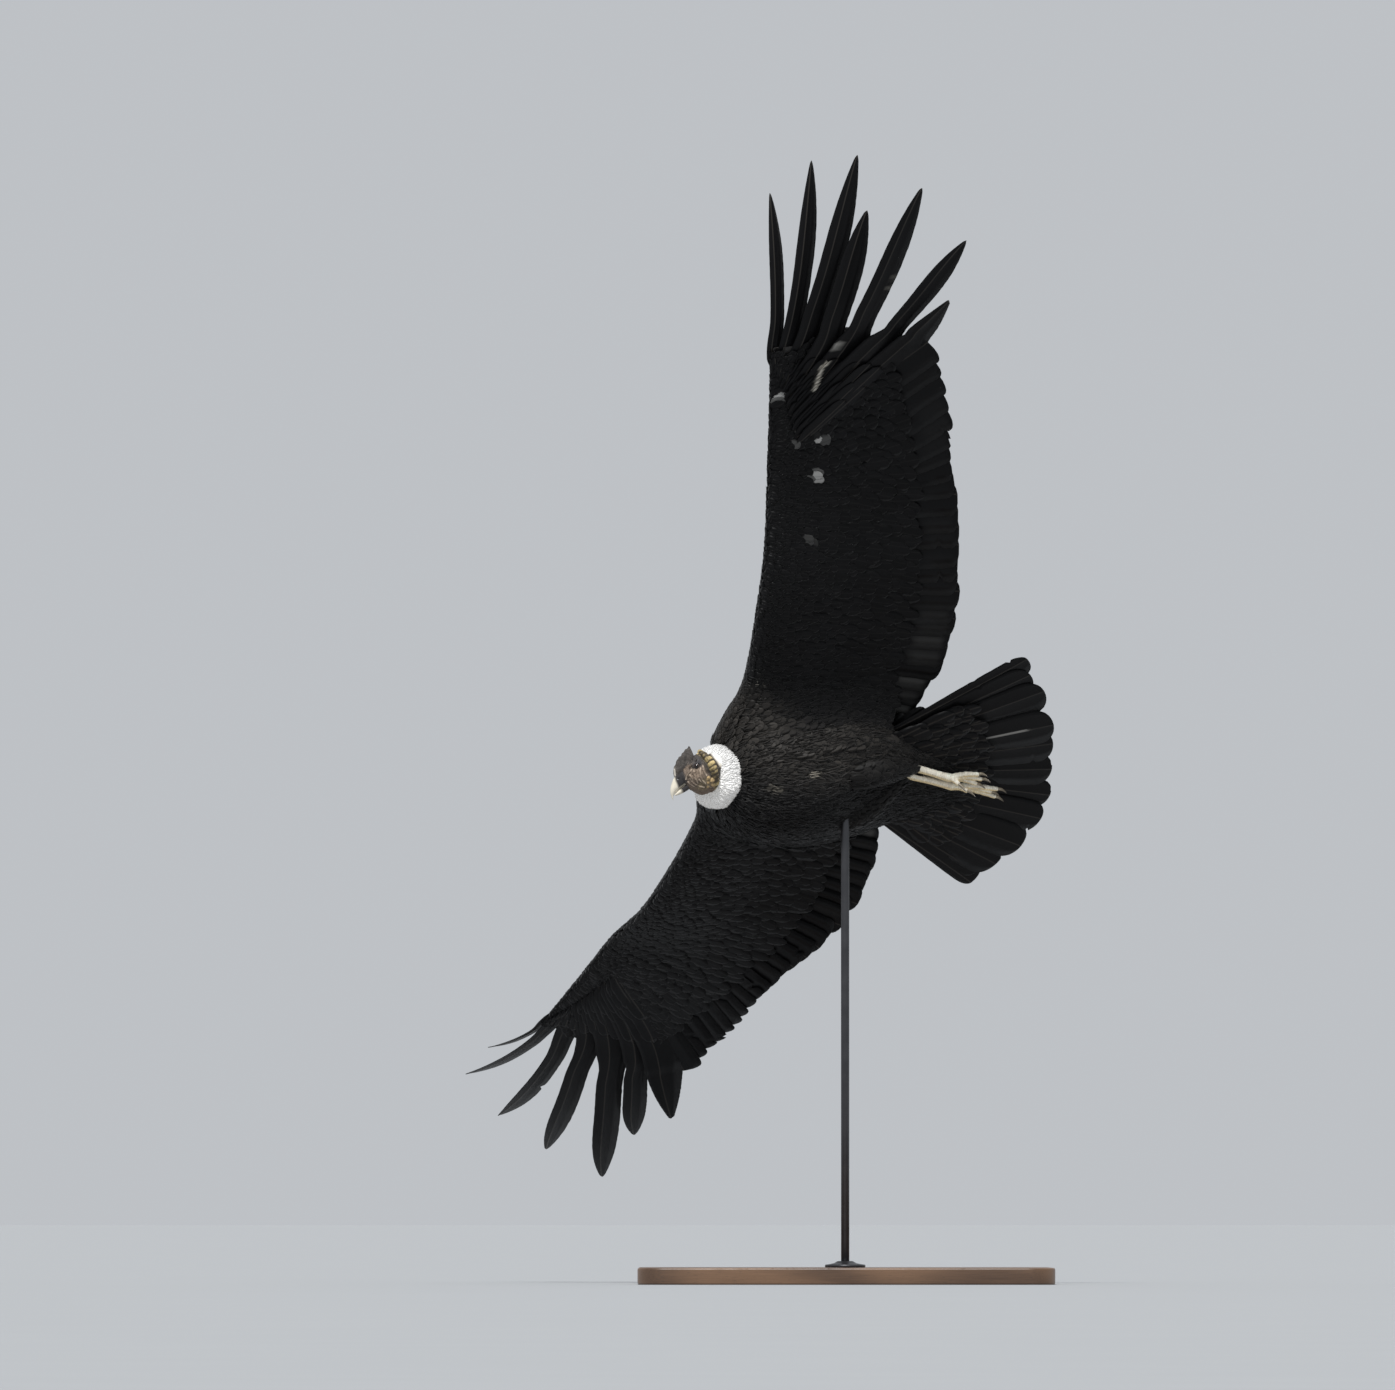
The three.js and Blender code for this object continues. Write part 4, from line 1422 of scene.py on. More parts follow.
    def rounded(self, rim: np.ndarray, turns: np.ndarray, inset: float = 0.0) -> np.ndarray:
        """The root's rounded end: the first section drawn in by the cosine, and inwards by the sine.

        Args:
            rim: points of the first section.
            turns: angles, 90 degrees being the middle.
            inset: how much shorter the end is.

        Returns:
            The points.
        """
        middle = self.place(np.array(0.0), np.array(self.root_middle), 0.0)
        inwards = np.array([0.0, 1.0, 0.0]) * (self.root_depth - inset)
        return middle + (rim - middle) * np.cos(turns)[..., None] - inwards * np.sin(turns)[..., None]

    def root(self, face: Face) -> Sheet:
        """One face of the root's rounded end as a surface for feathers, u back and v inwards.

        Args:
            face: the wing's face.

        Returns:
            The sheet.
        """
        q = np.linspace(-0.15, 0.68, 41)
        sides = face.value * np.clip(q / 0.03, -1, 1)
        rim = self.place(np.zeros(41), q**2, sides, -self.cover * 0.5)[:, None]
        points = self.rounded(rim, np.radians(np.linspace(-4, 82, 15))[None])
        middle = self.place(np.array(0.0), np.array(self.root_middle), 0.0)
        return Sheet(points, False, points - middle, (0.7, 0.03, 0.1, 0.2))


@dataclass(frozen=True)
class SlopeShape:
    """The slope between the body's side and one face of a wing, in its left-hand form.

    A point is on a quadratic curve from the body to the wing, whose middle control is near their corner.
    """

    wing: WingShape
    body: BodyShape
    face: Face
    near: tuple = (112, -240)
    far: tuple = (77, -246)
    station: float = 2.7

    def place(self, along: np.ndarray, across: np.ndarray, inset: float = 0.0) -> np.ndarray:
        """Points at some shares from the breast back and from the body outwards, a given depth under.

        Args:
            along: shares from the breast back.
            across: shares from the body outwards.
            inset: the depth under the surface.

        Returns:
            The points.
        """
        x = self.near[0] + (self.near[1] - self.near[0]) * along
        table = np.array(self.body.stations)
        spot = np.interp(-x, -table[:, 0], np.arange(len(table)))
        near = self.body.place(spot, np.full_like(x, 0.125 if self.face is Face.UPPER else 0.925), inset)
        lead, _, length, _ = self.wing.lines(np.full_like(x, self.station))
        x = self.far[0] + (self.far[1] - self.far[0]) * along
        share = (lead[..., 0] - x * MM) / length
        far = self.wing.place(np.full_like(x, self.station), share, self.face.value, inset - 0.001)
        corner = np.stack([(near + far)[..., 0] / 2, near[..., 1] * 0.72 + far[..., 1] * 0.28,
                           near[..., 2] * 0.25 + far[..., 2] * 0.75], -1)
        corner = corner * 0.8 + (near + far) * 0.1
        corner[..., 2] -= self.face.value * 0.034 * (1 - ease(0.0, 0.32, along))
        t = across[..., None]
        return near * (1 - t) ** 2 + corner * 2 * t * (1 - t) + far * t**2

    def sheet(self) -> Sheet:
        """The surface for feathers, u from the breast back and v from the body outwards.

        Returns:
            The sheet.
        """
        along, across = np.meshgrid(np.linspace(0, 1, 41), np.linspace(0, 1, 25), indexing="ij")
        patch = (0.56, 0.03, 0.3, 0.3) if self.face is Face.UNDER else (0.56, 0.36, 0.3, 0.3)
        return Sheet(self.place(along, across), False, np.array([0.0, 0.2, self.face.value]), patch)

    def flesh(self, inset: float) -> tuple:
        """The slope's closed skin, whose sections go back through the body and the wing.

        Args:
            inset: the depth under the surface.

        Returns:
            The points and the faces.
        """
        along, across = np.meshgrid(np.linspace(0.10, 0.90, 30), np.linspace(0, 0.84, 14), indexing="ij")
        curve = self.place(along, across, inset * (1 + 0.6 * (2 * along - 1) ** 6))
        curve = curve - np.array([0, 0, self.face.value]) * (inset * across**2 * 0.2)[..., None]
        thick = 0.0025 + 0.012 * (1 - ease(0.2, 0.5, along[:, :1]))
        deep = np.array([0.0, 0.0, -self.face.value]) * thick
        inner = np.stack([curve[:, -1] + deep, curve[:, 6] + deep * 1.4 - np.array([0, 0.012, 0]),
                          curve[:, 0] + np.array([0, -0.02, -self.face.value * 0.01])], 1)
        return capped_tube(np.concatenate([curve, inner], axis=1) * np.array([1, self.wing.side.value, 1]))


@dataclass(frozen=True)
class SlopeCoat:
    """The soft feathers from the body onto one wing: broad ones, and loose strands over them."""

    shape: SlopeShape
    finish: bpy.types.Material
    spacing: float = 0.0105
    strand_spacing: float = 0.0085
    lit: tuple = (0.024, 0.0215, 0.019)
    dark: tuple = (0.0040, 0.0038, 0.0040)
    spot: tuple = ((50, 226, 33), (56, 234, 34))
    worn: tuple = (0.6, 0.56, 0.48)

    def build(self) -> None:
        """Lays the feathers, pointing back and a little outwards."""
        wing, face = self.shape.wing, self.shape.face
        in_sun = face is Face.UNDER and wing.side is Side.LEFT
        rng = np.random.default_rng(80 + face.value + 4 * (wing.side is Side.RIGHT))
        sheet = self.shape.sheet()
        length = float(sheet.along.mean())
        plumage = Plumage()
        for cut, gap in ((CONTOUR, self.spacing), (STRAND, self.strand_spacing)):
            u, v = sheet.scattered(np.arange(0.0, 0.92, gap / length), gap * 0.95, 0.35, rng, -0.04, 1.0)
            long = (0.040 + 0.030 * v) * rng.uniform(0.85, 1.15, len(u)) * (1 - 0.3 * ease(0.15, 0.0, u))
            wide = (0.021 + 0.008 * v) * rng.uniform(0.85, 1.15, len(u))
            lift = 0.0022 + 0.0018 * rng.uniform(0, 1, len(u))
            if cut is STRAND:
                long, wide = long * 0.6, rng.uniform(0.0018, 0.004, len(u))
            turn = 0.05 + 0.10 * v + rng.normal(0, 0.13, len(u))
            bright = (1 - ease(0.45, 1.0, v + 0.55 * ease(0.0, 0.45, u)))[:, None] * in_sun
            tone = mixed(self.dark, self.lit, bright)[:, None]
            plumage.lay(lambda points, chance: tone * (0.72 + 0.56 * chance)[:, None, None], cut, sheet, u, v,
                        long, wide, rng, 0.006 if cut is CONTOUR else -0.0006, lift[:, None], turn,
                        wing.side is Side.RIGHT)
        if in_sun:
            plumage.streak(self.spot, 6, self.worn)
        plumage.show(f"plumage_slope_{face.name.lower()}_{wing.side.word}", self.finish)


@dataclass(frozen=True)
class FlightFeathers:
    """The secondaries and inner primaries of one wing: a row of overlapping quills along its back edge.

    Each shaft starts in the arm and ends at the trailing edge, farther out the nearer it is to the hand. Its
    place goes from the root's station and share of the chord to the tip's by the share along the feather.
    """

    wing: WingShape
    finish: bpy.types.Material
    count: int = 27
    first_tip: float = 0.10
    pitch: float = 0.0385
    root_share: float = 0.2
    leading: float = 0.034
    trailing: float = 0.054
    tilt: float = 0.062
    black: tuple = (0.0030, 0.0029, 0.0033)
    # Stronger pale smudges on listed feathers: painted glints of light.
    marks: dict = field(default_factory=lambda: {
        Side.LEFT: {10: 0.02, 9: 0.02, 8: 0.04, 7: 0.03, 5: 0.06, 4: 0.03, 3: 0.07},
        Side.RIGHT: {3: 0.10, 2: 0.04},
    })
    white: tuple = (0.62, 0.61, 0.58)
    stations: int = 34

    def build(self) -> None:
        """Builds the row and shows it."""
        rng = np.random.default_rng(11 if self.wing.side is Side.LEFT else 12)
        quills = Quills()
        number = np.arange(self.count)
        table = metres(self.wing.trail)
        fine = np.linspace(0, 9, 400)
        tip_out = self.first_tip + self.pitch * number + rng.uniform(-0.003, 0.003, self.count)
        tip = np.interp(tip_out, through(table, fine)[:, 1], fine)
        root = tip - 1.9 * (np.clip(tip, 0, 9) / 8.6) ** 2.2
        share = 1 - (1 - np.linspace(0, 1, self.stations)) ** 1.5
        station = root[:, None] + (tip - root)[:, None] * share**0.85
        reach = 1.006 - 0.038 * ease(5.6, 7.4, tip) + rng.uniform(-0.014, 0.010, self.count)
        chord = self.root_share + (reach[:, None] - self.root_share) * share
        path = self.wing.place(station, chord, 0.0)
        ups = self.wing.slope(station, chord)
        width = (0.3 + 0.7 * ease(0, 0.25, share)) * round_end(share, 0.93, 2.6, 0.0004)
        size = rng.uniform(0.95, 1.05, self.count)[:, None]
        c = quills.across
        outer = (1 - ease(17.5, 23.0, number.astype(float)) * 0.85)[:, None, None]
        outer = outer * np.concatenate([np.ones(len(quills.over)), np.zeros(len(quills.below))])
        pale = ease(-0.30, -0.22, c)[None, None] * ease(0.2, 0.4, share)[None, :, None]
        pale = pale * (1 - ease(0.9, 0.96, share))[None, :, None] * outer * 0.95
        # Small random pale smudges near the tips are wear; the listed marks make stronger ones, painted
        # glints.
        worn = 0.010 * rng.uniform(0, 1, self.count) ** 2
        for place, strength in self.marks[self.wing.side].items():
            worn[place] = strength
        spread = ease(0.15, 0.5, -c) * (1 - 0.5 * ease(0.7, 1.0, -c)) * (
            ease(0.72, 0.82, share) * (1 - ease(0.93, 0.98, share)))[:, None]
        wear_and_glint = worn[:, None, None] * spread[None]
        colours = mixed(self.black, self.white, np.clip(pale + wear_and_glint, 0, 1)[..., None])
        plumage = Plumage()
        quills.add(plumage, path, ups, self.leading * size * width, self.trailing * size * width,
                   np.full(self.count, self.tilt), colours, rng, self.wing.side is Side.RIGHT)
        plumage.show(f"remiges_{self.wing.side.word}", self.finish)


@dataclass(frozen=True)
class Fingers:
    """The long outer primaries of one wing, which spread and curve up like fingers.

    A shaft runs from the hand to the finger's root on a cubic and from there on to the tip on a quadratic
    curve that sags. The blade narrows after the root and again towards its tip.
    """

    wing: WingShape
    finish: bpy.types.Material
    black: tuple = (0.0034, 0.0033, 0.0037)
    # grey is the colour of a painted glint along the quills; streak is its line.
    grey: tuple = (0.26, 0.25, 0.23)
    streak: tuple = (
        (46, 1068, 216), (50, 1038, 216), (56, 1010, 214), (66, 994, 212), (67, 965, 208), (68, 939, 204),
    )
    white: tuple = (0.62, 0.58, 0.50)
    stations: int = 64
    in_hand: int = 16

    @property
    def table(self) -> tuple:
        """Each finger's name, station and share in the hand, root, tip, root width, width, sag and lean.

        Returns:
            A row for each finger, from the leading one back.
        """
        if self.wing.side is Side.LEFT:
            return (
                ("p10", 8.2, 0.03, (170, 1018, 250), (195, 1283, 451), 32, 32, 26, -0.12),
                ("p09", 8.0, 0.05, (142, 1024, 246), (128, 1383, 445), 40, 42, 34, 0.0),
                ("p08", 7.8, 0.07, (108, 1030, 240), (54, 1446, 393), 54, 53, 32, 0.12),
                ("p07", 7.6, 0.09, (64, 1050, 226), (26, 1351, 322), 68, 57, 20, 0.12),
                ("p06", 7.35, 0.11, (12, 1068, 216), (-54, 1463, 270), 84, 52, 20, 0.14),
                ("p05", 7.1, 0.13, (-52, 1082, 204), (-178, 1346, 235), 92, 50, 12, 0.12),
                ("p04", 6.9, 0.15, (-112, 1092, 194), (-160, 1217, 185), 90, 62, 4, 0.06),
            )
        return (
            ("p10", 8.2, 0.03, (172, 1012, 250), (181, 1284, 451), 28, 20, 12, 0.0),
            ("p09", 8.0, 0.05, (158, 1020, 246), (216, 1362, 445), 38, 34, 20, 0.0),
            ("p08", 7.8, 0.07, (118, 1030, 240), (132, 1443, 393), 54, 48, 24, -0.14),
            ("p07", 7.6, 0.09, (62, 1050, 226), (23, 1483, 325), 64, 54, 24, 0.20),
            ("p06", 7.35, 0.11, (0, 1068, 216), (-105, 1517, 270), 86, 61, 20, 0.16),
            ("p05", 7.1, 0.13, (-58, 1072, 204), (-129, 1349, 235), 80, 56, 12, 0.16),
            ("p04", 6.9, 0.15, (-116, 1082, 194), (-176, 1248, 185), 94, 88, 4, 0.02),
        )

    def shaft(self, station: float, share: float, root: np.ndarray, tip: np.ndarray, sag: float) -> tuple:
        """The middle line of a finger and the share along its free part, below 0 in the hand.

        Args:
            station: the station where it starts in the hand.
            share: its share of the chord.
            root: where the finger leaves the hand.
            tip: its tip.
            sag: how far its middle is below the chord.

        Returns:
            The points and the shares.
        """
        control = (root + tip) / 2 + np.array([0, 0, -2 * sag])
        free = 1 - (1 - np.linspace(0, 1, self.stations - self.in_hand)) ** 1.35
        t = free[:, None]
        blade = root * (1 - t) ** 2 + control * 2 * t * (1 - t) + tip * t**2
        start = self.wing.place(np.array(station), np.array(share), -0.4)
        hand = np.linspace(0, 1, self.in_hand, endpoint=False)
        h = hand[:, None]
        far = np.linalg.norm(root - start)
        leaving = unit(root - start) * far
        arriving = unit(control - root) * far
        bends = leaving * (h**3 - 2 * h**2 + h) + arriving * (h**3 - h**2)
        inner = mixed(start, root, 3 * h**2 - 2 * h**3) + bends
        return np.vstack([inner, blade]), np.concatenate([hand - 1, free])

    def build(self) -> None:
        """Builds each finger as a piece of its own, and the coverts over their roots."""
        word = self.wing.side.word
        quills = Quills(shaft=0.0022, droop=0.03, splits=0.0, thickness=0.0009)
        c = quills.across
        for number, (name, station, share, root, tip, root_width, width, sag, lean) in enumerate(self.table):
            rng = np.random.default_rng(40 + number + 10 * (self.wing.side is Side.RIGHT))
            path, along = self.shaft(station, share, metres(root), metres(tip), sag * MM)
            full = (root_width + (width - root_width) * ease(-0.04, 0.13, along)) * MM
            begin, power = 0.5, 2.5
            if name == "p04":
                begin, power = 0.0 if self.wing.side is Side.RIGHT else 0.2, 1.6
            full = full * (1 - 0.88 * (np.clip(along - begin, 0, 1) / (1 - begin)) ** power)
            full = full * (0.5 + 0.5 * ease(-1.0, -0.4, along))
            full = full * round_end(along, 0.975, 2, 0.01)
            direction = unit(np.gradient(path, axis=0))
            ups = unit(np.cross(np.array([1.0, 0, 0]), direction))
            forward = np.cross(direction, ups)
            shifted = path + forward * ((0.14 + lean * ease(0.0, 0.25, along)) * full)[:, None]
            shifted = shifted - ups * (0.0012 * (number - 3) * (1 - ease(0.0, 0.2, along)))[:, None]
            grey = 1 + 0.5 * ease(0.2, 0.9, c)[None, None, :, None] * rng.uniform(0.3, 1.0)
            # Pale dashes on p06 of the left wing: painted glints.
            pale = self.glints(name, along, c)[None, ..., None]
            colours = mixed(np.array(self.black) * grey, self.white, pale)
            trailing = 0.64 * full
            if name == "p08" and self.wing.side is Side.RIGHT:
                trailing = trailing * (1 - 0.26 * np.exp(-(((along - 0.55) / 0.016) ** 2)))
            plumage = Plumage()
            quills.add(plumage, shifted[None], ups[None], 0.36 * full[None], trailing[None],
                       np.array([0.05]), colours, rng, self.wing.side is Side.RIGHT)
            # A pale grey line along the quills of p06 and p07: a painted glint.
            if name in ("p06", "p07") and self.wing.side is Side.LEFT:
                plumage.streak(self.streak, 4.5, self.grey)
            plumage.show(f"finger_{word}_{name}", self.finish, nodes=(f"primary_{word}_{name}",))
        for face in Face:
            self.coverts(face)

    def glints(self, name: str, along: np.ndarray, c: np.ndarray) -> np.ndarray:
        """Where a finger of the left wing shows painted glints of light, by station and by place on its ring.

        Args:
            name: the finger's name.
            along: the share along each station.
            c: the place of each point on a ring.

        Returns:
            The share of white, stations by ring.
        """
        along, c = along[:, None], c[None]
        none = np.zeros(np.broadcast_shapes(along.shape, c.shape))
        if self.wing.side is Side.RIGHT or name != "p06":
            return none
        dashes = np.exp(-(((along - 0.47) / 0.010) ** 2)) + 0.7 * np.exp(-(((along - 0.40) / 0.010) ** 2))
        return none + 0.4 * dashes * ease(-0.5, -0.75, c)

    def coverts(self, face: Face) -> None:
        """Builds three rows of coverts over the fingers' roots on one face, along the shafts.

        Args:
            face: the face they lie on.
        """
        rng = np.random.default_rng(60 + 2 * (self.wing.side is Side.RIGHT) + (face is Face.UPPER))
        quills = Quills(shaft=0.0011, droop=0.03, splits=0.01, thickness=0.0005)
        columns = [np.array([row[k] for row in self.table], float) for k in (1, 2, 3, 4, 5, 7)]
        plumage = Plumage()
        rows = ((-0.80, -0.20, 0.60, 1.2), (-0.98, -0.42, 0.58, 2.6), (-1.0, -0.60, 0.55, 4.0))
        for turn, (begin, end, wide, height) in enumerate(rows):
            spots = np.arange(0.0 if turn % 2 else 0.25, 6.01, 0.5)
            paths, ups, widths = [], [], []
            for spot in spots:
                low = min(int(spot), 5)
                station, share, root, tip, full, sag = (
                    column[low] + (column[low + 1] - column[low]) * (spot - low) for column in columns
                )
                path, along = self.shaft(station, share, root * MM, tip * MM, sag * MM)
                finish = end + rng.uniform(-0.04, 0.04) + 0.10 * (1 - ease(0.0, 2.0, np.array(spot)))
                places = np.linspace(begin, finish, 16)
                path = np.stack([np.interp(places, along, path[:, k]) for k in range(3)], -1)
                up = unit(np.cross(np.array([1.0, 0, 0]), unit(np.gradient(path, axis=0))))
                t = np.linspace(0, 1, 16)
                out = (height + 1.6 * np.sin(np.pi * t) ** 0.7 + 0.5 * rng.uniform()) * MM
                paths.append(path + up * face.value * (out + self.thick(spot))[..., None])
                ups.append(up * face.value)
                full = full * wide * MM * (0.5 + 0.5 * ease(0, 0.3, t))
                widths.append(full * round_end(t, 0.72, 2.2, 0.001))
            paths, ups, widths = np.array(paths), np.array(ups), np.array(widths)
            ahead = 0.5 - 0.1 * face.value
            colours = np.array(self.black) * rng.uniform(0.9, 1.6, (len(spots), 1, 1, 1))
            quills.add(plumage, paths, ups, widths * ahead, widths * (1 - ahead),
                       np.full(len(spots), 0.05 * face.value), colours, rng, self.wing.side is Side.RIGHT,
                       turn * 14, 42)
        # The same line on the under coverts, paler: a painted glint.
        if face is Face.UNDER and self.wing.side is Side.LEFT:
            plumage.streak(self.streak, 5.0, self.white)
        plumage.show(f"coverts_hand_{face.name.lower()}_{self.wing.side.word}", self.finish)

    def thick(self, spot: float) -> float:
        """How far the coverts lie from the shafts, more where the feathers are stacked."""
        return (1.5 + 3.5 * float(ease(0.5, 4.0, np.array(spot)))) * MM


@dataclass(frozen=True)
class Coverts:
    """The rows of small feathers on one face of a wing, from the leading edge back to the flight feathers."""

    wing: WingShape
    face: Face
    finish: bpy.types.Material
    rows: int = 17
    shortest: float = 0.024
    longest: float = 0.104
    last_share: float = 0.56
    notch_out: float = 1.088
    notch_front: float = 0.045
    shoulder_length: tuple = (0.026, 0.036)
    shoulder_width: tuple = (0.014, 0.019)
    edge_length: tuple = (0.018, 0.026)
    edge_width: tuple = (0.011, 0.015)
    black: tuple = (0.0034, 0.0033, 0.0036)
    lit: tuple = (0.019, 0.017, 0.015)
    white: tuple = (0.62, 0.61, 0.585)
    spots: tuple = (
        (87, 846, 198, 8, 0.5), (85, 824, 193, 6, 0.3), (83, 788, 186, 7, 0.25), (38, 812, 184, 11, 0.75),
        (36, 802, 181, 7, 0.4), (25, 724, 164, 12, 0.6), (15, 589, 112, 6, 0.3), (130, 901, 216, 9, 0.9),
    )

    def build(self) -> None:
        """Builds the rows, longer and wider apart farther back, and turned outwards in the hand."""
        mirror = self.wing.side is Side.RIGHT
        rng = np.random.default_rng(20 + self.face.value + 4 * mirror)
        sheet = self.wing.sheet(self.face)
        growth = np.linspace(0.35, 1.0, self.rows)
        rows = np.concatenate([[0.0], np.cumsum(growth)[:-1]])
        rows = 0.004 + rows / rows[-1] * self.last_share / self.wing.covered
        plumage = Plumage()
        for number, row in enumerate(rows):
            share = number / (self.rows - 1)
            length = self.shortest + (self.longest - self.shortest) * share**1.3
            width = 0.011 + 0.27 * length
            u, v = sheet.scattered(np.array([row]), width * 0.44, 0.16, rng, 0.01, 0.9 + 0.1 * share)
            u = u + rng.normal(0, 0.004, len(u))
            hand = ease(0.66, 0.92, v) * (0.9 * (1 - share) ** 2 - 0.2 * share)
            long = length * rng.uniform(0.88, 1.12, len(u)) * (1 + hand)
            wide = width * rng.uniform(0.9, 1.1, len(u))
            turn = 0.10 + 1.25 * ease(0.6, 0.96, v) * (1 - 0.55 * share) + rng.normal(0, 0.06, len(u))
            points, vanes, places, chance = lay_feathers(
                COVERT, sheet, u, v, long, wide, rng, 0.0035, 0.0022 + 0.0010 * (1 - share), turn, mirror
            )
            # A tip in the notch between the last finger and the wing's edge would show as a lump.
            kept = (np.abs(points[:, -1, 1]) < self.notch_out) | (points[:, -1, 0] > self.notch_front)
            points, vanes, places, chance, v = (table[kept] for table in (points, vanes, places, chance, v))
            pale = np.zeros(len(v))
            if self.face is Face.UPPER:
                pale = np.where(share > 0.93, (1 - ease(0.72, 0.86, v)) * ease(0.15, 0.21, v), 0.0)
            elif self.wing.side is Side.LEFT:
                middle = points.mean(axis=1) / MM
                for x, out, z, radius, strength in self.spots:
                    near = 1 - ease(0.5, 1.0, np.linalg.norm(middle - (x, out, z), axis=1) / (radius + 4))
                    pale = np.maximum(pale, near * strength * (0.5 + 0.5 * chance))
            tone = mixed(self.tone(points, chance), self.white, pale[:, None, None])
            plumage.add(points, len(COVERT.ring()[0]), vanes, tone, places)
        self.shoulder(plumage, rng)
        if self.face is Face.UNDER:
            self.edge(plumage, rng)
        plumage.show(f"coverts_{self.face.name.lower()}_{self.wing.side.word}", self.finish)

    def shoulder(self, plumage: Plumage, rng: np.random.Generator) -> None:
        """Adds the feathers that close the wing's root towards the body.

        Args:
            plumage: the piece they go to.
            rng: the random source.
        """
        sheet = self.wing.root(self.face)
        u, v = sheet.scattered(np.arange(0.0, 0.9, 0.009 / float(sheet.along.mean())), 0.0085, 0.3, rng)
        plumage.lay(self.tone, CONTOUR, sheet, u, v, rng.uniform(*self.shoulder_length, len(u)),
                    rng.uniform(*self.shoulder_width, len(u)), rng, 0.003, 0.0025,
                    rng.normal(0, 0.12, len(u)), self.wing.side is Side.RIGHT)

    def edge(self, plumage: Plumage, rng: np.random.Generator) -> None:
        """Adds the smallest feathers, which point outwards along the leading edge and turn back off it.

        Args:
            plumage: the piece they go to.
            rng: the random source.
        """
        sheet = self.wing.nose()
        rows = np.arange(0.0, 0.965, 0.0095 / float(sheet.along.mean()))
        u, v = sheet.scattered(rows, 0.0075, 0.3, rng)
        turn = (v - 0.5) * 1.5 + rng.normal(0, 0.1, len(u))
        plumage.lay(lambda points, chance: self.tone(points, chance + 0.1), CONTOUR, sheet, u, v,
                    rng.uniform(*self.edge_length, len(u)), rng.uniform(*self.edge_width, len(u)), rng,
                    0.002, 0.0018, turn, self.wing.side is Side.RIGHT)

    def tone(self, points: np.ndarray, chance: np.ndarray) -> np.ndarray:
        """Each feather's colour: black, and lighter under the left wing's root at the front, where light is
        painted on.

        Args:
            points: feathers by points by three.
            chance: each feather's chance.

        Returns:
            Feathers by one by three.
        """
        x, out = (points[..., k].mean(axis=1) / MM for k in (0, 1))
        # Lighter under the left wing's root at the front: painted light.
        near = (1 - ease(180, 240, out)) * ease(-80, 10, x) * (out > 0) * (self.face is Face.UNDER)
        return mixed(self.black, self.lit, near[:, None, None]) * (0.8 + 0.5 * chance)[:, None, None]


@dataclass(frozen=True)
class Tail:
    """Twelve tail feathers spread in a fan, the middle pair on top, with coverts over both faces' roots."""

    finish: bpy.types.Material
    axes: Axes = Axes((-0.114, 0.0, 0.001), (0.0, -7.9, -4.8))
    feathers: tuple = (
        (-36.2, 526, 17, 50), (-33, 512, 40, 50), (-28.4, 534, 46, 50), (-21, 552, 48, 54),
        (-11.8, 556, 54, 46), (-4.5, 552, 46, 46), (2.6, 540, 46, 50), (11, 538, 52, 46),
        (17.2, 543, 50, 56), (28.6, 546, 56, 46), (35.2, 538, 50, 40), (40.2, 555, 46, 24),
    )
    start: float = 0.13
    covert_length: tuple = (0.075, 0.11)
    covert_width: tuple = (0.026, 0.034)
    black: tuple = (0.0038, 0.0037, 0.0040)
    # white is the colour of a painted glint on one shaft.
    white: tuple = (0.66, 0.64, 0.60)
    stations: int = 44

    def build(self) -> None:
        """Builds the fan: straight shafts from the apex, wider outwards, then rounded off."""
        rng = np.random.default_rng(31)
        quills = Quills(shaft=0.0018, droop=0.012, splits=0.02)
        angle, reach, minus, plus = np.array(self.feathers).T
        angle, reach, minus, plus = np.radians(angle), reach * MM, minus * MM, plus * MM
        share = 1 - (1 - np.linspace(0, 1, self.stations)) ** 1.6
        radius = self.start + (reach - self.start)[:, None] * share
        outward = np.sign(np.arange(12) - 5.5)
        bent = angle[:, None] + outward[:, None] * 0.02 * (share - 0.5)
        level = 0.0046 - np.abs(np.arange(12) - 5.5) * 0.0015
        path = stacked(-radius * np.cos(bent), radius * np.sin(bent), level[:, None])
        ups = np.broadcast_to(np.array([0.0, 0, 1]), path.shape)
        grown = (0.26 + 0.74 * ease(0.0, 0.9, share)) * round_end(share, 0.90, 2.4, 0.0004)
        tone = rng.uniform(0.85, 1.25, (12, 1, 1, 1))
        # A pale line on part of one feather's shaft: a painted glint.
        streak = np.zeros((12, self.stations, len(quills.across), 1))
        along = ease(0.60, 0.66, share) * (1 - ease(0.84, 0.88, share))
        streak[8, ..., 0] = 0.8 * along[:, None] * (np.abs(quills.across) < 0.05)
        colours = mixed(np.array(self.black) * tone, self.white, streak)
        plumage = Plumage()
        quills.add(plumage, self.axes.out(path), ups, plus[:, None] * grown, minus[:, None] * grown,
                   outward * 0.022, colours, rng)
        plumage.show("tail_feathers", self.finish, nodes=("tail",))
        self.coverts(rng)

    def coverts(self, rng: np.random.Generator) -> None:
        """Lays coverts over both faces of the fan's root, in rows round the apex.

        Args:
            rng: the random source.
        """
        plumage = Plumage()
        for face, last in ((Face.UNDER, 0.31), (Face.UPPER, 0.27)):
            radius = np.linspace(0.13, 0.45, 40)[:, None]
            angle = np.radians(np.linspace(-30, 36, 40))[None]
            height = face.value * (0.008 + 0.010 * (1 - ease(0.13, 0.36, radius)))
            grid = stacked(-radius * np.cos(angle), radius * np.sin(angle), height)
            sheet = Sheet(self.axes.out(grid), False, np.array([0, 0, float(face.value)]),
                          (0.04, 0.04 if face is Face.UNDER else 0.54, 0.9, 0.4))
            rows = (np.linspace(0.15, last, 9) - 0.13) / 0.32
            u, v = sheet.scattered(rows, 0.0125, 0.25, rng)
            plumage.lay(lambda points, chance: np.array(self.black) * (0.85 + 0.6 * chance)[:, None, None],
                        COVERT, sheet, u, v, rng.uniform(*self.covert_length, len(u)),
                        rng.uniform(*self.covert_width, len(u)), rng, 0.004, 0.003,
                        rng.normal(0, 0.08, len(u)))
        plumage.show("coverts_tail", self.finish)


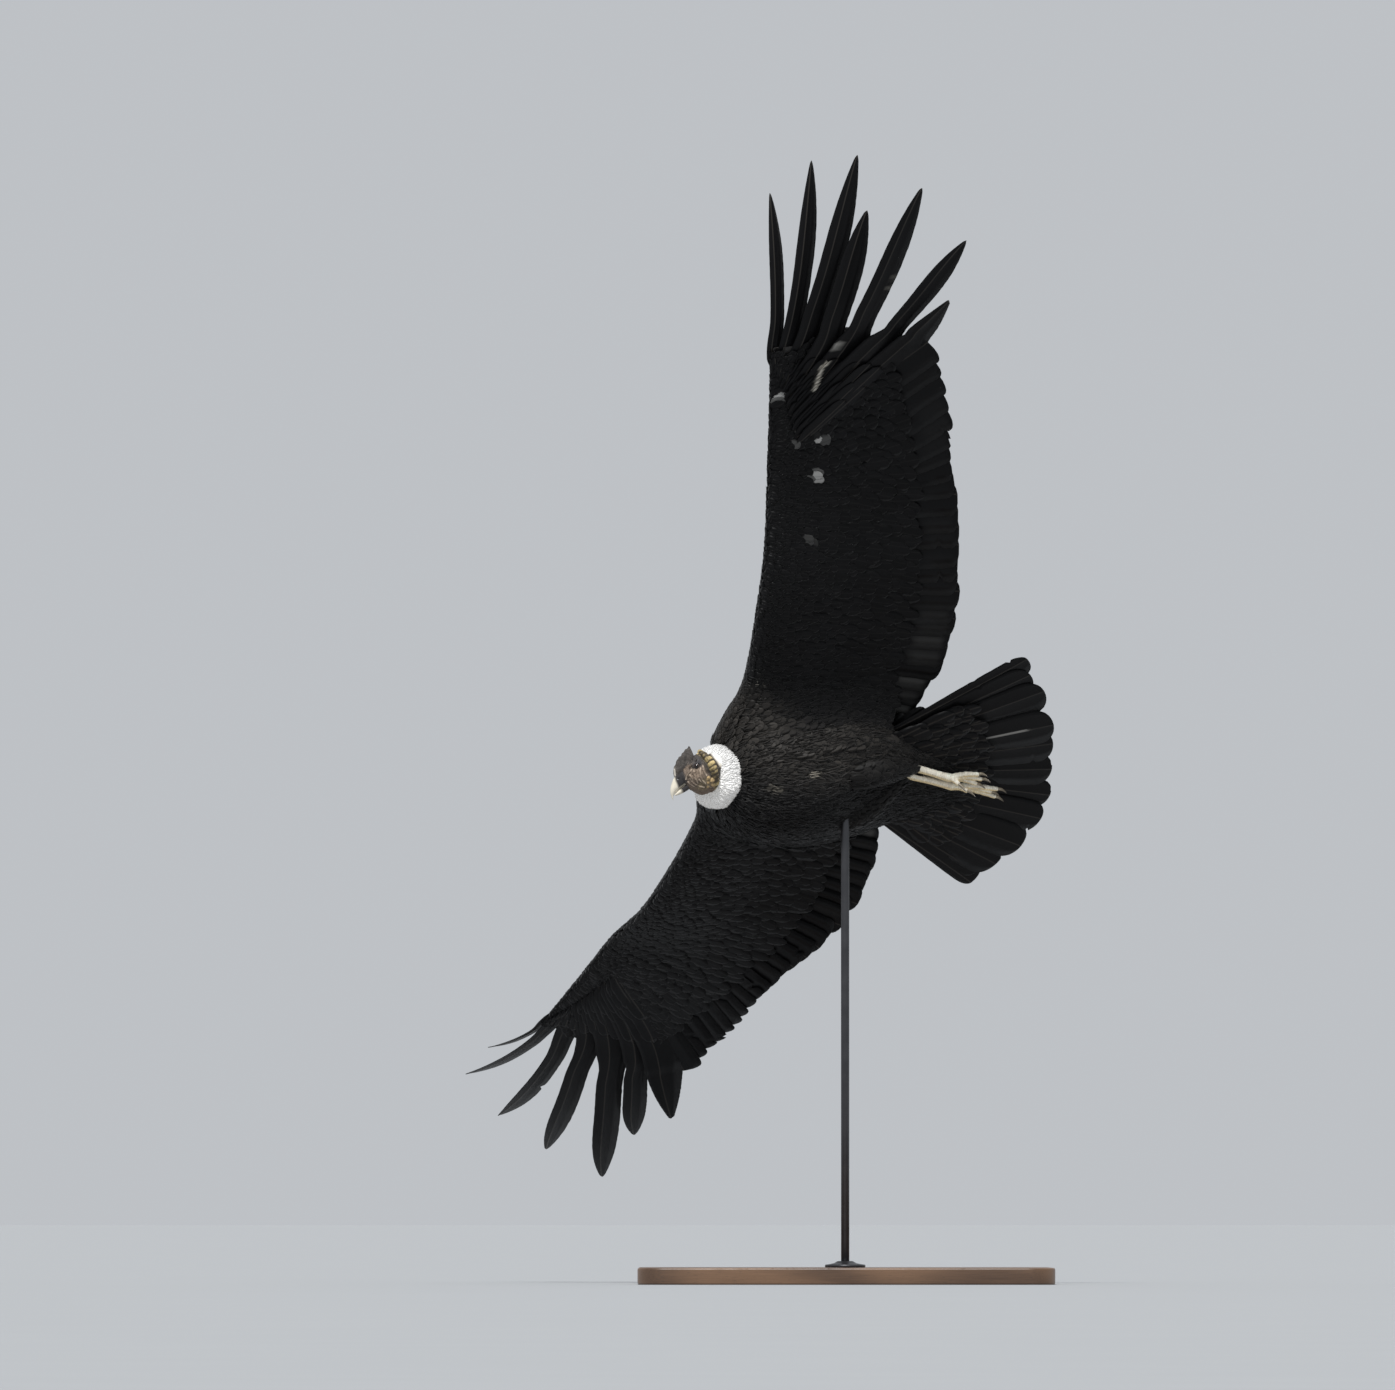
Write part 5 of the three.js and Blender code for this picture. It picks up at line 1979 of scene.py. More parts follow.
@dataclass(frozen=True)
class BodyCoat:
    """The small overlapping feathers of the breast, belly, back and rump."""

    body: BodyShape
    finish: bpy.types.Material
    spacing: float = 0.0106
    strand_spacing: float = 0.0078
    spots: tuple = (
        ((-64, 108, -122), 11, 0.95), ((27, 73, -132), 12, 0.5), ((-130, 116, -118), 9, 0.7),
        ((-44, 150, -10), 30, 0.10),
    )
    worn: tuple = (0.42, 0.38, 0.31)
    lit: tuple = (0.024, 0.0215, 0.019)
    dark: tuple = (0.0044, 0.0042, 0.0043)

    def build(self) -> None:
        """Builds the coat in three pieces: broad feathers, and loose strands over them."""
        rng = np.random.default_rng(3)
        sheet = self.body.sheet()
        length = float(sheet.along.mean())
        pieces = {name: Plumage() for name in ("breast", "belly", "back")}
        for cut, gap in ((CONTOUR, self.spacing), (STRAND, self.strand_spacing)):
            rows = np.arange(0.03, 0.985, gap / length)
            u, v = sheet.scattered(rows, gap * 0.92, 0.35, rng)
            sine = np.sin(2 * np.pi * v)
            groups = {
                "breast": u < 0.40,
                "belly": (u >= 0.40) & (sine < 0.15),
                "back": (u >= 0.40) & (sine >= 0.15),
            }
            for name, chosen in groups.items():
                uu, vv, back = u[chosen], v[chosen], sine[chosen]
                grown, longer = ease(0.1, 0.5, uu), 1 + 0.3 * ease(0.0, 0.6, back)
                long = (0.034 + 0.018 * grown) * rng.uniform(0.82, 1.18, len(uu)) * longer
                wide = (0.018 + 0.008 * grown) * rng.uniform(0.85, 1.15, len(uu))
                lift = 0.0020 + 0.0018 * rng.uniform(0, 1, len(uu))
                if cut is STRAND:
                    long, wide = long * 0.62, rng.uniform(0.0018, 0.0042, len(uu))
                    lift = 0.0026 + 0.0026 * rng.uniform(0, 1, len(uu))
                turn = rng.normal(0, 0.13 if cut is CONTOUR else 0.2, len(uu))
                pieces[name].lay(partial(self.tone, back), cut, sheet, uu, vv, long, wide, rng,
                                 0.007 if cut is CONTOUR else -0.0008, lift[:, None], turn)
        for name, plumage in pieces.items():
            plumage.show(f"plumage_{name}", self.finish)

    def tone(self, back: np.ndarray, points: np.ndarray, chance: np.ndarray) -> np.ndarray:
        """Each feather's colour: lighter on the left of the belly as painted light, darker on the back and
        the right side as painted shade, and worn pale near the spots.

        Args:
            back: the sine of the turn at each root, 1 at the middle of the back.
            points: feathers by points by three.
            chance: each feather's chance.

        Returns:
            Feathers by one by three.
        """
        middle = points.mean(axis=1) / MM
        # Lit on the left flank and darker on the back and right side: painted light and shade.
        share = np.maximum(ease(0.0, 0.6, back), 1 - ease(50, 118, middle[:, 1]))[:, None]
        tone = mixed(self.lit, self.dark, share) * (0.72 + 0.56 * chance)[:, None]
        for place, radius, strength in self.spots:
            reach = np.linalg.norm((middle - place) * (0.5, 1, 1), axis=1)
            tone = mixed(tone, self.worn, (strength * (1 - ease(0.3, 1.0, reach / radius)) * chance)[:, None])
        return tone[:, None]


@dataclass(frozen=True)
class Leg:
    """One leg: a feathered thigh, a bare shank, three front toes, a hind toe and their claws."""

    side: Side
    thigh_radii: tuple = (30, 31, 13)
    shank_radii: tuple = (11.5, 12, 8.6, 8.4, 10)
    pads: tuple = (9, 7.6, 6.6, 7.4, 6.2, 6.6, 5.6, 6.4, 5.4, 5.8, 4.9, 5.3, 4.2)
    claw_length: float = 17
    claw_radii: tuple = (3.4, 3.6, 2.8, 1.6, 0.35)
    horn: tuple = (0.34, 0.28, 0.19)
    horn_tip: tuple = (0.05, 0.04, 0.032)
    lit: tuple = (0.0095, 0.0088, 0.0083)

    @property
    def places(self) -> dict:
        """The places of the thigh, ankle, foot and toe tips.

        Returns:
            Points in millimetres by name.
        """
        if self.side is Side.LEFT:
            return {
                "thigh": ((-150, 78, -98), (-240, 86, -84), (-322, 76, -63)), "ankle": (-288, 80, -57),
                "foot": (-404, 58, -80), "toes": ((-472, 72, -99), (-462, 84, -96), (-464, 57, -98)),
                "hallux": (-420, 59, -102),
            }
        return {
            "thigh": ((-150, -52, -98), (-225, -22, -92), (-306, 44, -64)), "ankle": (-296, 52, -58),
            "foot": (-420, 30, -77), "toes": ((-520, 38, -95), (-508, 27, -92), (-521, 15, -95)),
            "hallux": (-446, 38, -101),
        }

    def toe_paths(self) -> list:
        """The joint, the raised middle and the tip of each toe.

        Returns:
            Three points for each toe, in metres.
        """
        foot = np.array(self.places["foot"], float)
        tips = [np.array(tip, float) for tip in (*self.places["toes"], self.places["hallux"])]
        return [np.array([foot, (foot + tip) / 2 + [0, 0, 5], tip]) * MM for tip in tips]

    def flesh(self) -> tuple:
        """The bare shank and toes as closed tubes, the toes swelling at their pads.

        Returns:
            The points and the faces.
        """
        ankle, foot = metres(self.places["ankle"]), metres(self.places["foot"])
        knee = ankle + (ankle - foot) * 0.2
        path = np.array([knee, ankle, ankle * 0.6 + foot * 0.4, ankle * 0.25 + foot * 0.75, foot])
        parts = [capped_tube(tube(path, metres(self.shank_radii), 24, 40))]
        for toe in self.toe_paths():
            parts.append(capped_tube(tube(traced(toe, len(self.pads)), metres(self.pads), 18, 40)))
        return gathered(parts)

    def thigh_flesh(self, inset: float) -> tuple:
        """The thigh's closed skin, under its coat."""
        radii = np.maximum(metres(self.thigh_radii) - inset, 0.009)
        return capped_tube(tube(metres(self.places["thigh"]), radii, 24, 24))

    def coat(self, finish: bpy.types.Material) -> None:
        """Lays the thigh's feathers, shorter towards the ankle.

        Args:
            finish: its material.
        """
        rng = np.random.default_rng(60 + self.side.value)
        rings = tube(metres(self.places["thigh"]), metres(self.thigh_radii), 40, 48)
        sheet = Sheet.around(rings, (0.05, 0.05, 0.6, 0.9))
        length = float(sheet.along.mean())
        u, v = sheet.scattered(np.arange(0.0, 0.93, 0.009 / length), 0.0095, 0.3, rng)
        long = (0.036 - 0.012 * u) * rng.uniform(0.85, 1.15, len(u))
        wide = (0.021 - 0.009 * u) * rng.uniform(0.85, 1.15, len(u))
        plumage = Plumage()
        plumage.lay(lambda points, chance: np.array(self.lit) * (0.7 + 0.6 * chance)[:, None, None], CONTOUR,
                    sheet, u, v, long, wide, rng, 0.005, 0.003, rng.normal(0, 0.12, len(u)))
        plumage.show(f"plumage_thigh_{self.side.word}", finish)

    def claws(self, finish: bpy.types.Material) -> None:
        """Builds the four claws: hooked horns that carry on from the toes and curl down to a point.

        Args:
            finish: its material.
        """
        parts = []
        shares = np.array([-4 / self.claw_length, 0.28, 0.6, 0.84, 0.9])[:, None] * self.claw_length * MM
        drops = np.array([[0, 0, 0], [0, 0, 1.2], [0, 0, -2.2], [0, 0, -7.5], [0, 0, -11.8]]) * MM
        for toe in self.toe_paths():
            stops = toe[2] + unit(toe[2] - toe[0]) * shares + drops
            parts.append(capped_tube(tube(stops, metres(self.claw_radii), 20, 28, 0.85)))
        points, faces = gathered(parts)
        mesh = make_mesh(f"claws_{self.side.word}", BIRD.out(points), faces)
        tips = np.tile(np.concatenate([np.repeat(np.linspace(0, 1, 28), 20), [0, 1]]), len(parts))[:, None]
        write_colours(mesh, "tint", mixed(self.horn, self.horn_tip, tips))
        nodes = tuple(f"claw_{self.side.word}_{n}" for n in range(1, 5))
        show(f"claws_{self.side.word}", mesh, finish, nodes)


@dataclass(frozen=True)
class HeadColours:
    """The colours of the bare head, comb, bill and eyes."""

    skin: tuple = (0.15, 0.11, 0.08)
    nape: tuple = (0.50, 0.46, 0.38)
    cheek: tuple = (0.27, 0.20, 0.145)
    throat: tuple = (0.18, 0.14, 0.085)
    crown: tuple = (0.045, 0.038, 0.034)
    eye_patch: tuple = (0.030, 0.026, 0.027)
    bill_base: tuple = (0.026, 0.022, 0.022)
    # fold is a painted highlight on the crests of the folds.
    fold: tuple = (0.56, 0.455, 0.35)
    # gap is painted shade in the hollow behind the cheek.
    gap: tuple = (0.035, 0.027, 0.019)
    # hood is painted shade between the hood's pleats; pleat is the colour of their crowns.
    hood: tuple = (0.055, 0.040, 0.022)
    pleat: tuple = (0.52, 0.40, 0.185)
    knob: tuple = (0.52, 0.36, 0.17)
    comb: tuple = (0.050, 0.042, 0.036)
    # The next colour is a painted highlight for the comb's front edge.
    comb_worn: tuple = (0.50, 0.46, 0.40)
    horn: tuple = (0.022, 0.019, 0.019)
    ivory: tuple = (0.74, 0.68, 0.56)
    gape: tuple = (0.6, 0.54, 0.42)
    eyeball: tuple = (0.055, 0.045, 0.04)
    iris: tuple = (0.022, 0.011, 0.008)
    pupil: tuple = (0.004, 0.004, 0.004)


@dataclass(frozen=True)
class Head:
    """The bare head and neck, with lids, folds and lobes, and the comb, bill and eyes on it."""

    skull: tuple = (
        (42, -6, 13, 15, 28), (30, -7, 18, 19, 48), (12, -9, 26, 26, 54), (-8, -11, 29, 28, 53),
        (-26, -15, 25, 24, 42), (-36, -20, 17, 15, 26), (-42, -24, 9, 8, 13),
    )
    occiput: tuple = (-11, 0, 6, 21, 19, 17)
    neck: tuple = ((90, 8, -36), (122, 28, -46), (138, 54, -50), (150, 78, -52))
    neck_radii: tuple = (33, 33, 31, 25)
    eye: tuple = (1.0, 21.0, 0.0)
    eye_radius: float = 8.5
    knobs: tuple = (
        (-5, -35, 4.2), (-9, -44, 5.8), (1, -43, 3.4), (-4, -53, 4.6), (7, -50, 2.6), (-1, -37, 2.6),
    )
    creases: tuple = (
        (2.1, ((9, 1), (13, -8), (18, -20), (20, -31))), (1.7, ((10, 1), (19, -1), (29, -4), (37, -10))),
        (2.0, ((-3, -8), (4, -17), (8, -29), (7, -41))), (1.9, ((-10, -7), (-6, -18), (-5, -28))),
        (2.2, ((29, -13), (28, -25), (23, -36), (14, -46))),
        (1.8, ((13, -26), (12, -36), (6, -46), (2, -55))),
        (1.5, ((36, -16), (35, -24), (31, -33))), (1.6, ((-14, 9), (-16, 0), (-14, -10), (-13, -22))),
        (1.5, ((24, -6), (24, -14), (26, -21))), (1.4, ((3, 15), (10, 16), (19, 13))),
    )
    brow: tuple = (5, 20.5, 10.5, 13, 4.6, 3.0, 12)
    pleats: int = 11
    ruff_depth: float = 0.007
    comb: tuple = (
        (56, 5, 1.2, 1.5), (53.5, 7.5, 6.5, 3.8), (47, 11, 12.0, 4.7), (37, 15, 16.5, 5.0),
        (24, 18, 19.5, 5.2), (11, 21, 20.5, 5.2), (2, 25, 18.5, 5.0), (-4, 31, 13.5, 4.4),
        (-8, 38, 7.0, 3.2), (-10, 43, 1.2, 1.2),
    )
    upper_bill: tuple = (
        (30, 12, -14, 14), (38, 12, -16, 14), (46, 10.5, -17.5, 12.5), (57, 7, -19, 10.5), (66, 1.5, -20, 9),
        (74, -5, -21.5, 7), (80.5, -13, -25, 4.6), (84, -21, -29.5, 2.6), (85.5, -29, -32, 1),
    )
    lower_bill: tuple = (
        (34, -16.4, -31, 12), (48, -18, -31.5, 10), (60, -19.5, -30.5, 8), (70, -21.2, -28.5, 5.5),
        (76, -23, -26.5, 3),
    )
    colours: HeadColours = HeadColours()
    ruff: "RuffShape" = field(default_factory=lambda: RuffShape())

    def flesh(self) -> tuple:
        """The skull, neck, lids, brow, folds and lobes as closed skins, in the bird's axes.

        Returns:
            The points and the faces.
        """
        x, z, half, up, down = traced(metres(self.skull), 60).T[:, :, None]
        sine, cosine = np.sin(circle(48)), np.cos(circle(48))
        rise = np.where(sine > 0, up, down)
        skull = stacked(x, half * cosine * (1 - 0.12 * sine**2), z + rise * sine)
        parts = [capped_tube(skull), blob(metres(self.occiput[:3]), metres(self.occiput[3:])), self.hood()]
        for side in Side:
            flip = np.array([1, side.value, 1])
            pieces = [self.crease(radius, line) for radius, line in self.creases]
            for x0, z0, radius in self.knobs:
                centre = (x0, float(self.cheek(np.array([x0]), np.array([z0]))[0]) - 0.5, z0)
                squash = 1 + 0.2 * math.sin(7.0 * x0 + z0)
                size = metres((radius / squash, radius * 0.8, radius * squash))
                pieces.append(blob(metres(centre), size, 17.0 * x0))
            pieces.append(blob(metres(self.brow[:3]), metres(self.brow[3:6]), self.brow[6]))
            parts += [(points * flip, facing_out(points * flip, faces)) for points, faces in pieces]
            parts.append(self.lid(side))
        points, faces = gathered(parts)
        neck = capped_tube(tube(metres(self.neck), metres(self.neck_radii), 40, 40))
        return gathered([(HEAD.out(points), faces), neck, self.ruff.flesh(self.ruff_depth)])

    def cheek(self, x: np.ndarray, z: np.ndarray) -> np.ndarray:
        """How far out the skull's side is at some x and z, in millimetres.

        Args:
            x: places along the head.
            z: places up it.

        Returns:
            Distances from the middle.
        """
        table = np.array(self.skull, float)[::-1]
        middle, half, up, down = (np.interp(x, table[:, 0], table[:, k]) for k in (1, 2, 3, 4))
        sine = np.clip((z - middle) / np.where(z > middle, up, down), -0.97, 0.97)
        return half * (1 - 0.12 * sine**2) * np.sqrt(1 - sine**2)

    def line(self, stops: tuple, count: int) -> np.ndarray:
        """A crease's middle line on the left cheek, in millimetres."""
        x, z = traced(stops, count).T
        return np.stack([x, self.cheek(x, z) + 0.1, z], -1)

    def crease(self, radius: float, stops: tuple) -> tuple:
        """A soft fold of the cheek: a tube on its line, thinner towards both ends.

        Args:
            radius: its greatest radius, in millimetres.
            stops: pairs of x and z.

        Returns:
            The points and the faces.
        """
        path = self.line(stops, 14)
        radii = radius * (0.3 + 0.7 * np.sin(np.pi * np.linspace(0.04, 0.96, 14)))
        return capped_tube(tube(path * MM, radii * MM, 10, 28))

    def hood_line(self, around: np.ndarray) -> np.ndarray:
        """The middle of the fold behind the head at some angles, up being a quarter turn, in millimetres."""
        sine, cosine = np.sin(around), np.cos(around)
        return np.stack([-15 - 7 * sine - 13 * cosine**2, 26 * cosine, -17 + 40 * sine], -1)

    def pleat(self, around: np.ndarray) -> np.ndarray:
        """Up to 1 on the crowns of the fold's pleats and 0 between them."""
        wandering = self.pleats * around + 1.1 * np.sin(3 * around) + 0.6 * np.sin(5 * around + 2)
        return np.abs(np.sin(wandering)) ** 0.6 * (0.80 + 0.20 * np.sin(4 * around + 1.3))

    def hood(self) -> tuple:
        """The pleated fold behind the head: a closed ring whose section swells at each pleat.

        Returns:
            The points and the faces.
        """
        around = circle(300)
        section = circle(20)[None, :, None]
        middle = self.hood_line(around)[:, None]
        outward = unit(np.stack([0.1 * np.sin(around), np.cos(around), np.sin(around)], -1))[:, None]
        axis = np.array((-0.982, 0, -0.187))
        pleat = self.pleat(around)[:, None, None]
        size = 1 - 0.42 * ease(0.45, 1.0, np.sin(around))[:, None, None]
        points = middle + outward * np.cos(section) * (4.0 + 3.8 * pleat) * size
        return closed_ring((points + axis * np.sin(section) * (6.2 + 2.0 * pleat) * size) * MM)

    def lid(self, side: Side) -> tuple:
        """The rim round one eye: a ring of round section, wider along the head than up and down it.

        Args:
            side: the eye's side.

        Returns:
            The points and the faces.
        """
        around = circle(40)[:, None]
        section = circle(12)
        radius = 7.7 + 2.5 * np.cos(section)
        upper = 1 + 0.05 * np.sin(around)
        x = self.eye[0] + radius * 1.08 * np.cos(around)
        z = self.eye[2] + (radius * 0.80 * np.sin(around) - 0.06 * radius * np.cos(around)) * upper
        y = self.eye[1] + 4.4 + 2.4 * np.sin(section) - 0.9 * np.cos(around)
        return closed_ring(stacked(x, y * side.value, z) * MM)

    def tint(self, points: np.ndarray) -> np.ndarray:
        """The colour of the bare skin at points of the head's axes, mixed from soft spots, with painted
        highlight on the crests of the folds and painted shade in their grooves, in the hollow behind the
        cheek and between the hood's pleats.

        Args:
            points: rows of three numbers.

        Returns:
            A colour for each point.
        """
        mm = points / MM
        x, side, z = mm[:, 0], np.abs(mm[:, 1]), mm[:, 2]
        speckle = noise(points, 0.006, 5) * 0.5 + noise(points, 0.0022, 6) * 0.5

        def spot(x0: float, z0: float, wide: float, high: float, soft: float = 0.5) -> np.ndarray:
            """One near a centre, falling to 0 at the edge of an ellipse."""
            return 1 - ease(soft, 1.0, np.hypot((x - x0) / wide, (z - z0) / high))

        colours = self.colours
        colour = np.broadcast_to(colours.skin, mm.shape)

        def blend(share: np.ndarray, target: tuple) -> None:
            """Mixes a colour in where the share says.

            Args:
                share: how much of it.
                target: the colour.
            """
            nonlocal colour
            share = np.clip(share + 0.22 * speckle * (share > 0.02) * (share < 0.98), 0, 1)[:, None]
            colour = mixed(colour, target, share)

        blend(ease(-36, -42, x) * 0.9, colours.nape)
        blend(spot(12, -14, 24, 19), colours.cheek)
        blend(spot(8, -42, 26, 15), colours.throat)
        blend(ease(5, 13, z - 0.2 * x) * ease(-30, -20, x), colours.crown)
        blend(spot(-3, 3, 18, 10), colours.eye_patch)
        blend(ease(29, 37, x + 0.25 * z) * ease(-24, -14, z), colours.bill_base)
        flat = np.stack([x, side, z], -1)
        fold = np.zeros(len(mm))
        # Each fold: its grooves darkened as painted shade, its crest painted pale as highlight.
        for radius, stops in self.creases:
            line = self.line(stops, 22)
            reach = np.sqrt(((flat[:, None] - line[None]) ** 2).sum(-1).min(1))
            groove = 1 - ease(0.0, 0.5, np.abs(reach / radius - 1.5))
            colour = colour * (1 - 0.6 * groove * (side > 5))[:, None]
            fold = np.maximum(fold, 1 - ease(0.2, 1.0, reach / radius))
        blend(fold * 0.85, colours.fold)
        # A dark patch in the hollow behind the cheek: painted shade.
        blend(spot(-24, -18, 17, 46, 0.8) * ease(-8, -17, x + 0.12 * z), colours.gap)
        around = np.arctan2((z + 17) / 40, side / 26)
        reach = np.linalg.norm(flat - self.hood_line(around), axis=1)
        on_hood = 1 - ease(8.0, 10.5, reach)
        crown = self.pleat(np.where(mm[:, 1] >= 0, around, np.pi - around))
        # The hood is dark between its pleats as painted shade, with the skin's yellow on their crowns.
        blend(on_hood, colours.hood)
        lively = 0.66 + 0.34 * np.sin(5 * around + 0.7) + 0.35 * speckle
        blend(on_hood * ease(0.45, 0.80, crown) * np.clip(lively, 0, 1), colours.pleat)
        knob = np.zeros(len(mm))
        for x0, z0, radius in self.knobs:
            knob = np.maximum(knob, 1 - ease(0.5, 1.15, np.hypot(x - x0, z - z0) / radius))
        blend(knob * (side > 12) * 0.9, colours.knob)
        return colour * (1 + 0.3 * speckle)[:, None]

    def relief(self, points: np.ndarray) -> np.ndarray:
        """How far the skin stands out at points of the head's axes: ridges of stretched noise.

        Args:
            points: rows of three numbers.

        Returns:
            A height for each point.
        """
        stretched = points * np.array([1.0, 1.0, 0.5])
        warp = noise(points, 0.011, 2)[:, None] * 0.002
        ridges = (1 - np.abs(noise(stretched + warp, 0.0062, 3))) ** 2
        fine = 1 - np.abs(noise(points, 0.0030, 4))
        return (ridges - 0.45) * 0.0017 + (fine - 0.5) * 0.0007

    def comb_mesh(self) -> tuple:
        """The comb: flat ovals along the head, with lumps and creases along it.

        Returns:
            The points and the faces.
        """
        x, z, high, half = traced(metres(self.comb), 90).T[:, :, None]
        sine = np.sin(circle(64))
        root = 1 + 1.1 * np.clip(-sine, 0, 1) ** 2 * ease(0.002, 0.008, high)
        scallops = (0.035 * np.sin(x / 0.0031) + 0.03 * np.sin(x / 0.0017 + 1)) * (sine > 0)
        rings = stacked(x, half * np.cos(circle(64)) * root, z + high * sine * (1 + scallops))
        lumps = noise(rings * np.array([0.6, 1, 1]), 0.008, 8) * 0.0016 + noise(rings, 0.0032, 9) * 0.0008
        outward = unit(rings - rings.mean(1, keepdims=True))
        share = np.linspace(0, 1, 90)[:, None]
        fading = ease(0, 0.05, share) * ease(1, 0.95, share)
        return capped_tube(rings + outward * (lumps * fading)[..., None])

    def build_comb(self, finish: bpy.types.Material) -> None:
        """Shows the comb, dark brown with a painted highlight along its front edge.

        Args:
            finish: its material.
        """
        points, faces = self.comb_mesh()
        speckle = noise(points, 0.005, 12)[:, None]
        tint = np.array(self.colours.comb) * (1 + 0.5 * speckle)
        x, z = points[:, 0] / MM, points[:, 2] / MM
        # A pale strip along the front edge: a painted highlight.
        front = (ease(3.4, 0.8, np.abs(x + 0.55 * z - 57.5)) * ease(6, 10, z) * ease(27, 20, z))[:, None]
        tint = mixed(tint, self.colours.comb_worn, front)
        self.tinted("comb_flesh", points, faces, tint, finish, "comb_skin", "comb")

    def tinted(self, name: str, points: np.ndarray, faces: np.ndarray, tint: np.ndarray,
               finish: bpy.types.Material, slot: str, node: str) -> None:
        """Shows a piece given in the head's axes.

        Args:
            name: the piece's name.
            points: its corners.
            faces: four corner numbers for each face.
            tint: a colour for each corner.
            finish: its material.
            slot: not used.
            node: the solid it stands for.
        """
        mesh = make_mesh(name, BIRD.out(HEAD.out(points)), faces)
        write_colours(mesh, "tint", tint)
        show(name, mesh, finish, (node,))

    def horn(self, stations: tuple, steps: int) -> np.ndarray:
        """Rings of a bill: ovals with a narrow top, from stations of x, top, bottom and half width.

        Args:
            stations: rows of x, top, bottom and half width.
            steps: how many rings.

        Returns:
            Rings by points by three.
        """
        x, top, bottom, half = traced(metres(stations), steps).T[:, :, None]
        sine, cosine = np.sin(circle(48)), np.cos(circle(48))
        middle, high = (top + bottom) / 2, (top - bottom) / 2
        narrow = 1 - np.where(sine > 0, 0.35, 0.08) * sine**2
        return stacked(x, half * np.sign(cosine) * np.abs(cosine) ** 0.8 * narrow,
                       middle + high * np.sign(sine) * np.abs(sine) ** 0.9)

    def build_bill(self, finish: bpy.types.Material) -> None:
        """Shows both halves of the bill, dark at the base and ivory from the middle to the hook.

        Args:
            finish: its material.
        """
        colours = self.colours
        for node, stations in (("bill_upper", self.upper_bill), ("bill_lower", self.lower_bill)):
            points, faces = capped_tube(self.horn(stations, 64))
            x, y, z = points.T / MM
            if node == "bill_upper":
                nostril = 1 - ease(0.5, 1.0, np.hypot((x - 49) / 4.2, (z - 0.5) / 1.9))
                points[:, 1] -= np.sign(y) * nostril * 2.2 * MM
                ivory = ease(54, 60, x + 0.25 * z)
            else:
                nostril = np.zeros(len(points))
                ivory = ease(55, 63, x)
            cloud = noise(points, 0.009, 15)
            ivory = np.clip(ivory + 0.15 * cloud * (ivory > 0.02), 0, 1)[:, None]
            gape = 1 - ease(1.2, 3.0, np.abs(z + 17.2 + 0.03 * (x - 40)))
            gape = (gape * ease(70, 60, x) * ease(34, 40, x))[:, None] * (1 - ivory) * 0.85
            tint = mixed(mixed(colours.horn, colours.ivory, ivory), colours.gape, gape)
            # The nostril is painted darker, as shade in its opening.
            tint = tint * (1 - 0.8 * nostril[:, None])
            self.tinted(f"{node}_horn", points, faces, tint, finish, "bill", node)

    def build_eyes(self, finish: bpy.types.Material) -> None:
        """Shows each eye: a ball with a bulging cornea, its colours by the angle from its axis.

        Args:
            finish: its material.
        """
        angle = np.linspace(0, np.pi, 50)[1:-1, None]
        around = circle(48)
        bulge = self.eye_radius * (1 + 0.05 * (1 - ease(0.25, 0.62, angle)))
        ring = np.sin(angle) * bulge
        rings = stacked(ring * np.cos(around), np.cos(angle) * bulge, ring * np.sin(around))
        points, faces = capped_tube(rings)
        x, y, z = points.T
        turn = np.arctan2(np.hypot(x, z), y)
        spokes = noise(stacked(np.arctan2(z, x) * 9, turn * 3, 0.0), 1.0, 4)
        iris = (1 - ease(0.60, 0.64, turn))[:, None]
        pupil = (1 - ease(0.29, 0.32, turn))[:, None]
        tint = mixed(self.colours.eyeball, self.colours.iris, iris) * (1 + 0.35 * spokes[:, None] * iris)
        tint = mixed(tint, self.colours.pupil, pupil)
        for side in Side:
            flip = np.array([1, side.value, 1])
            tilted = Axes(tuple(np.array(self.eye) * flip), (0, 0, -9.0 * side.value))
            turned = tilted.out(points * flip) * MM
            self.tinted(f"eyeball_{side.word}", turned, facing_out(turned, faces), tint, finish, "eye",
                        f"eye_{side.word}")


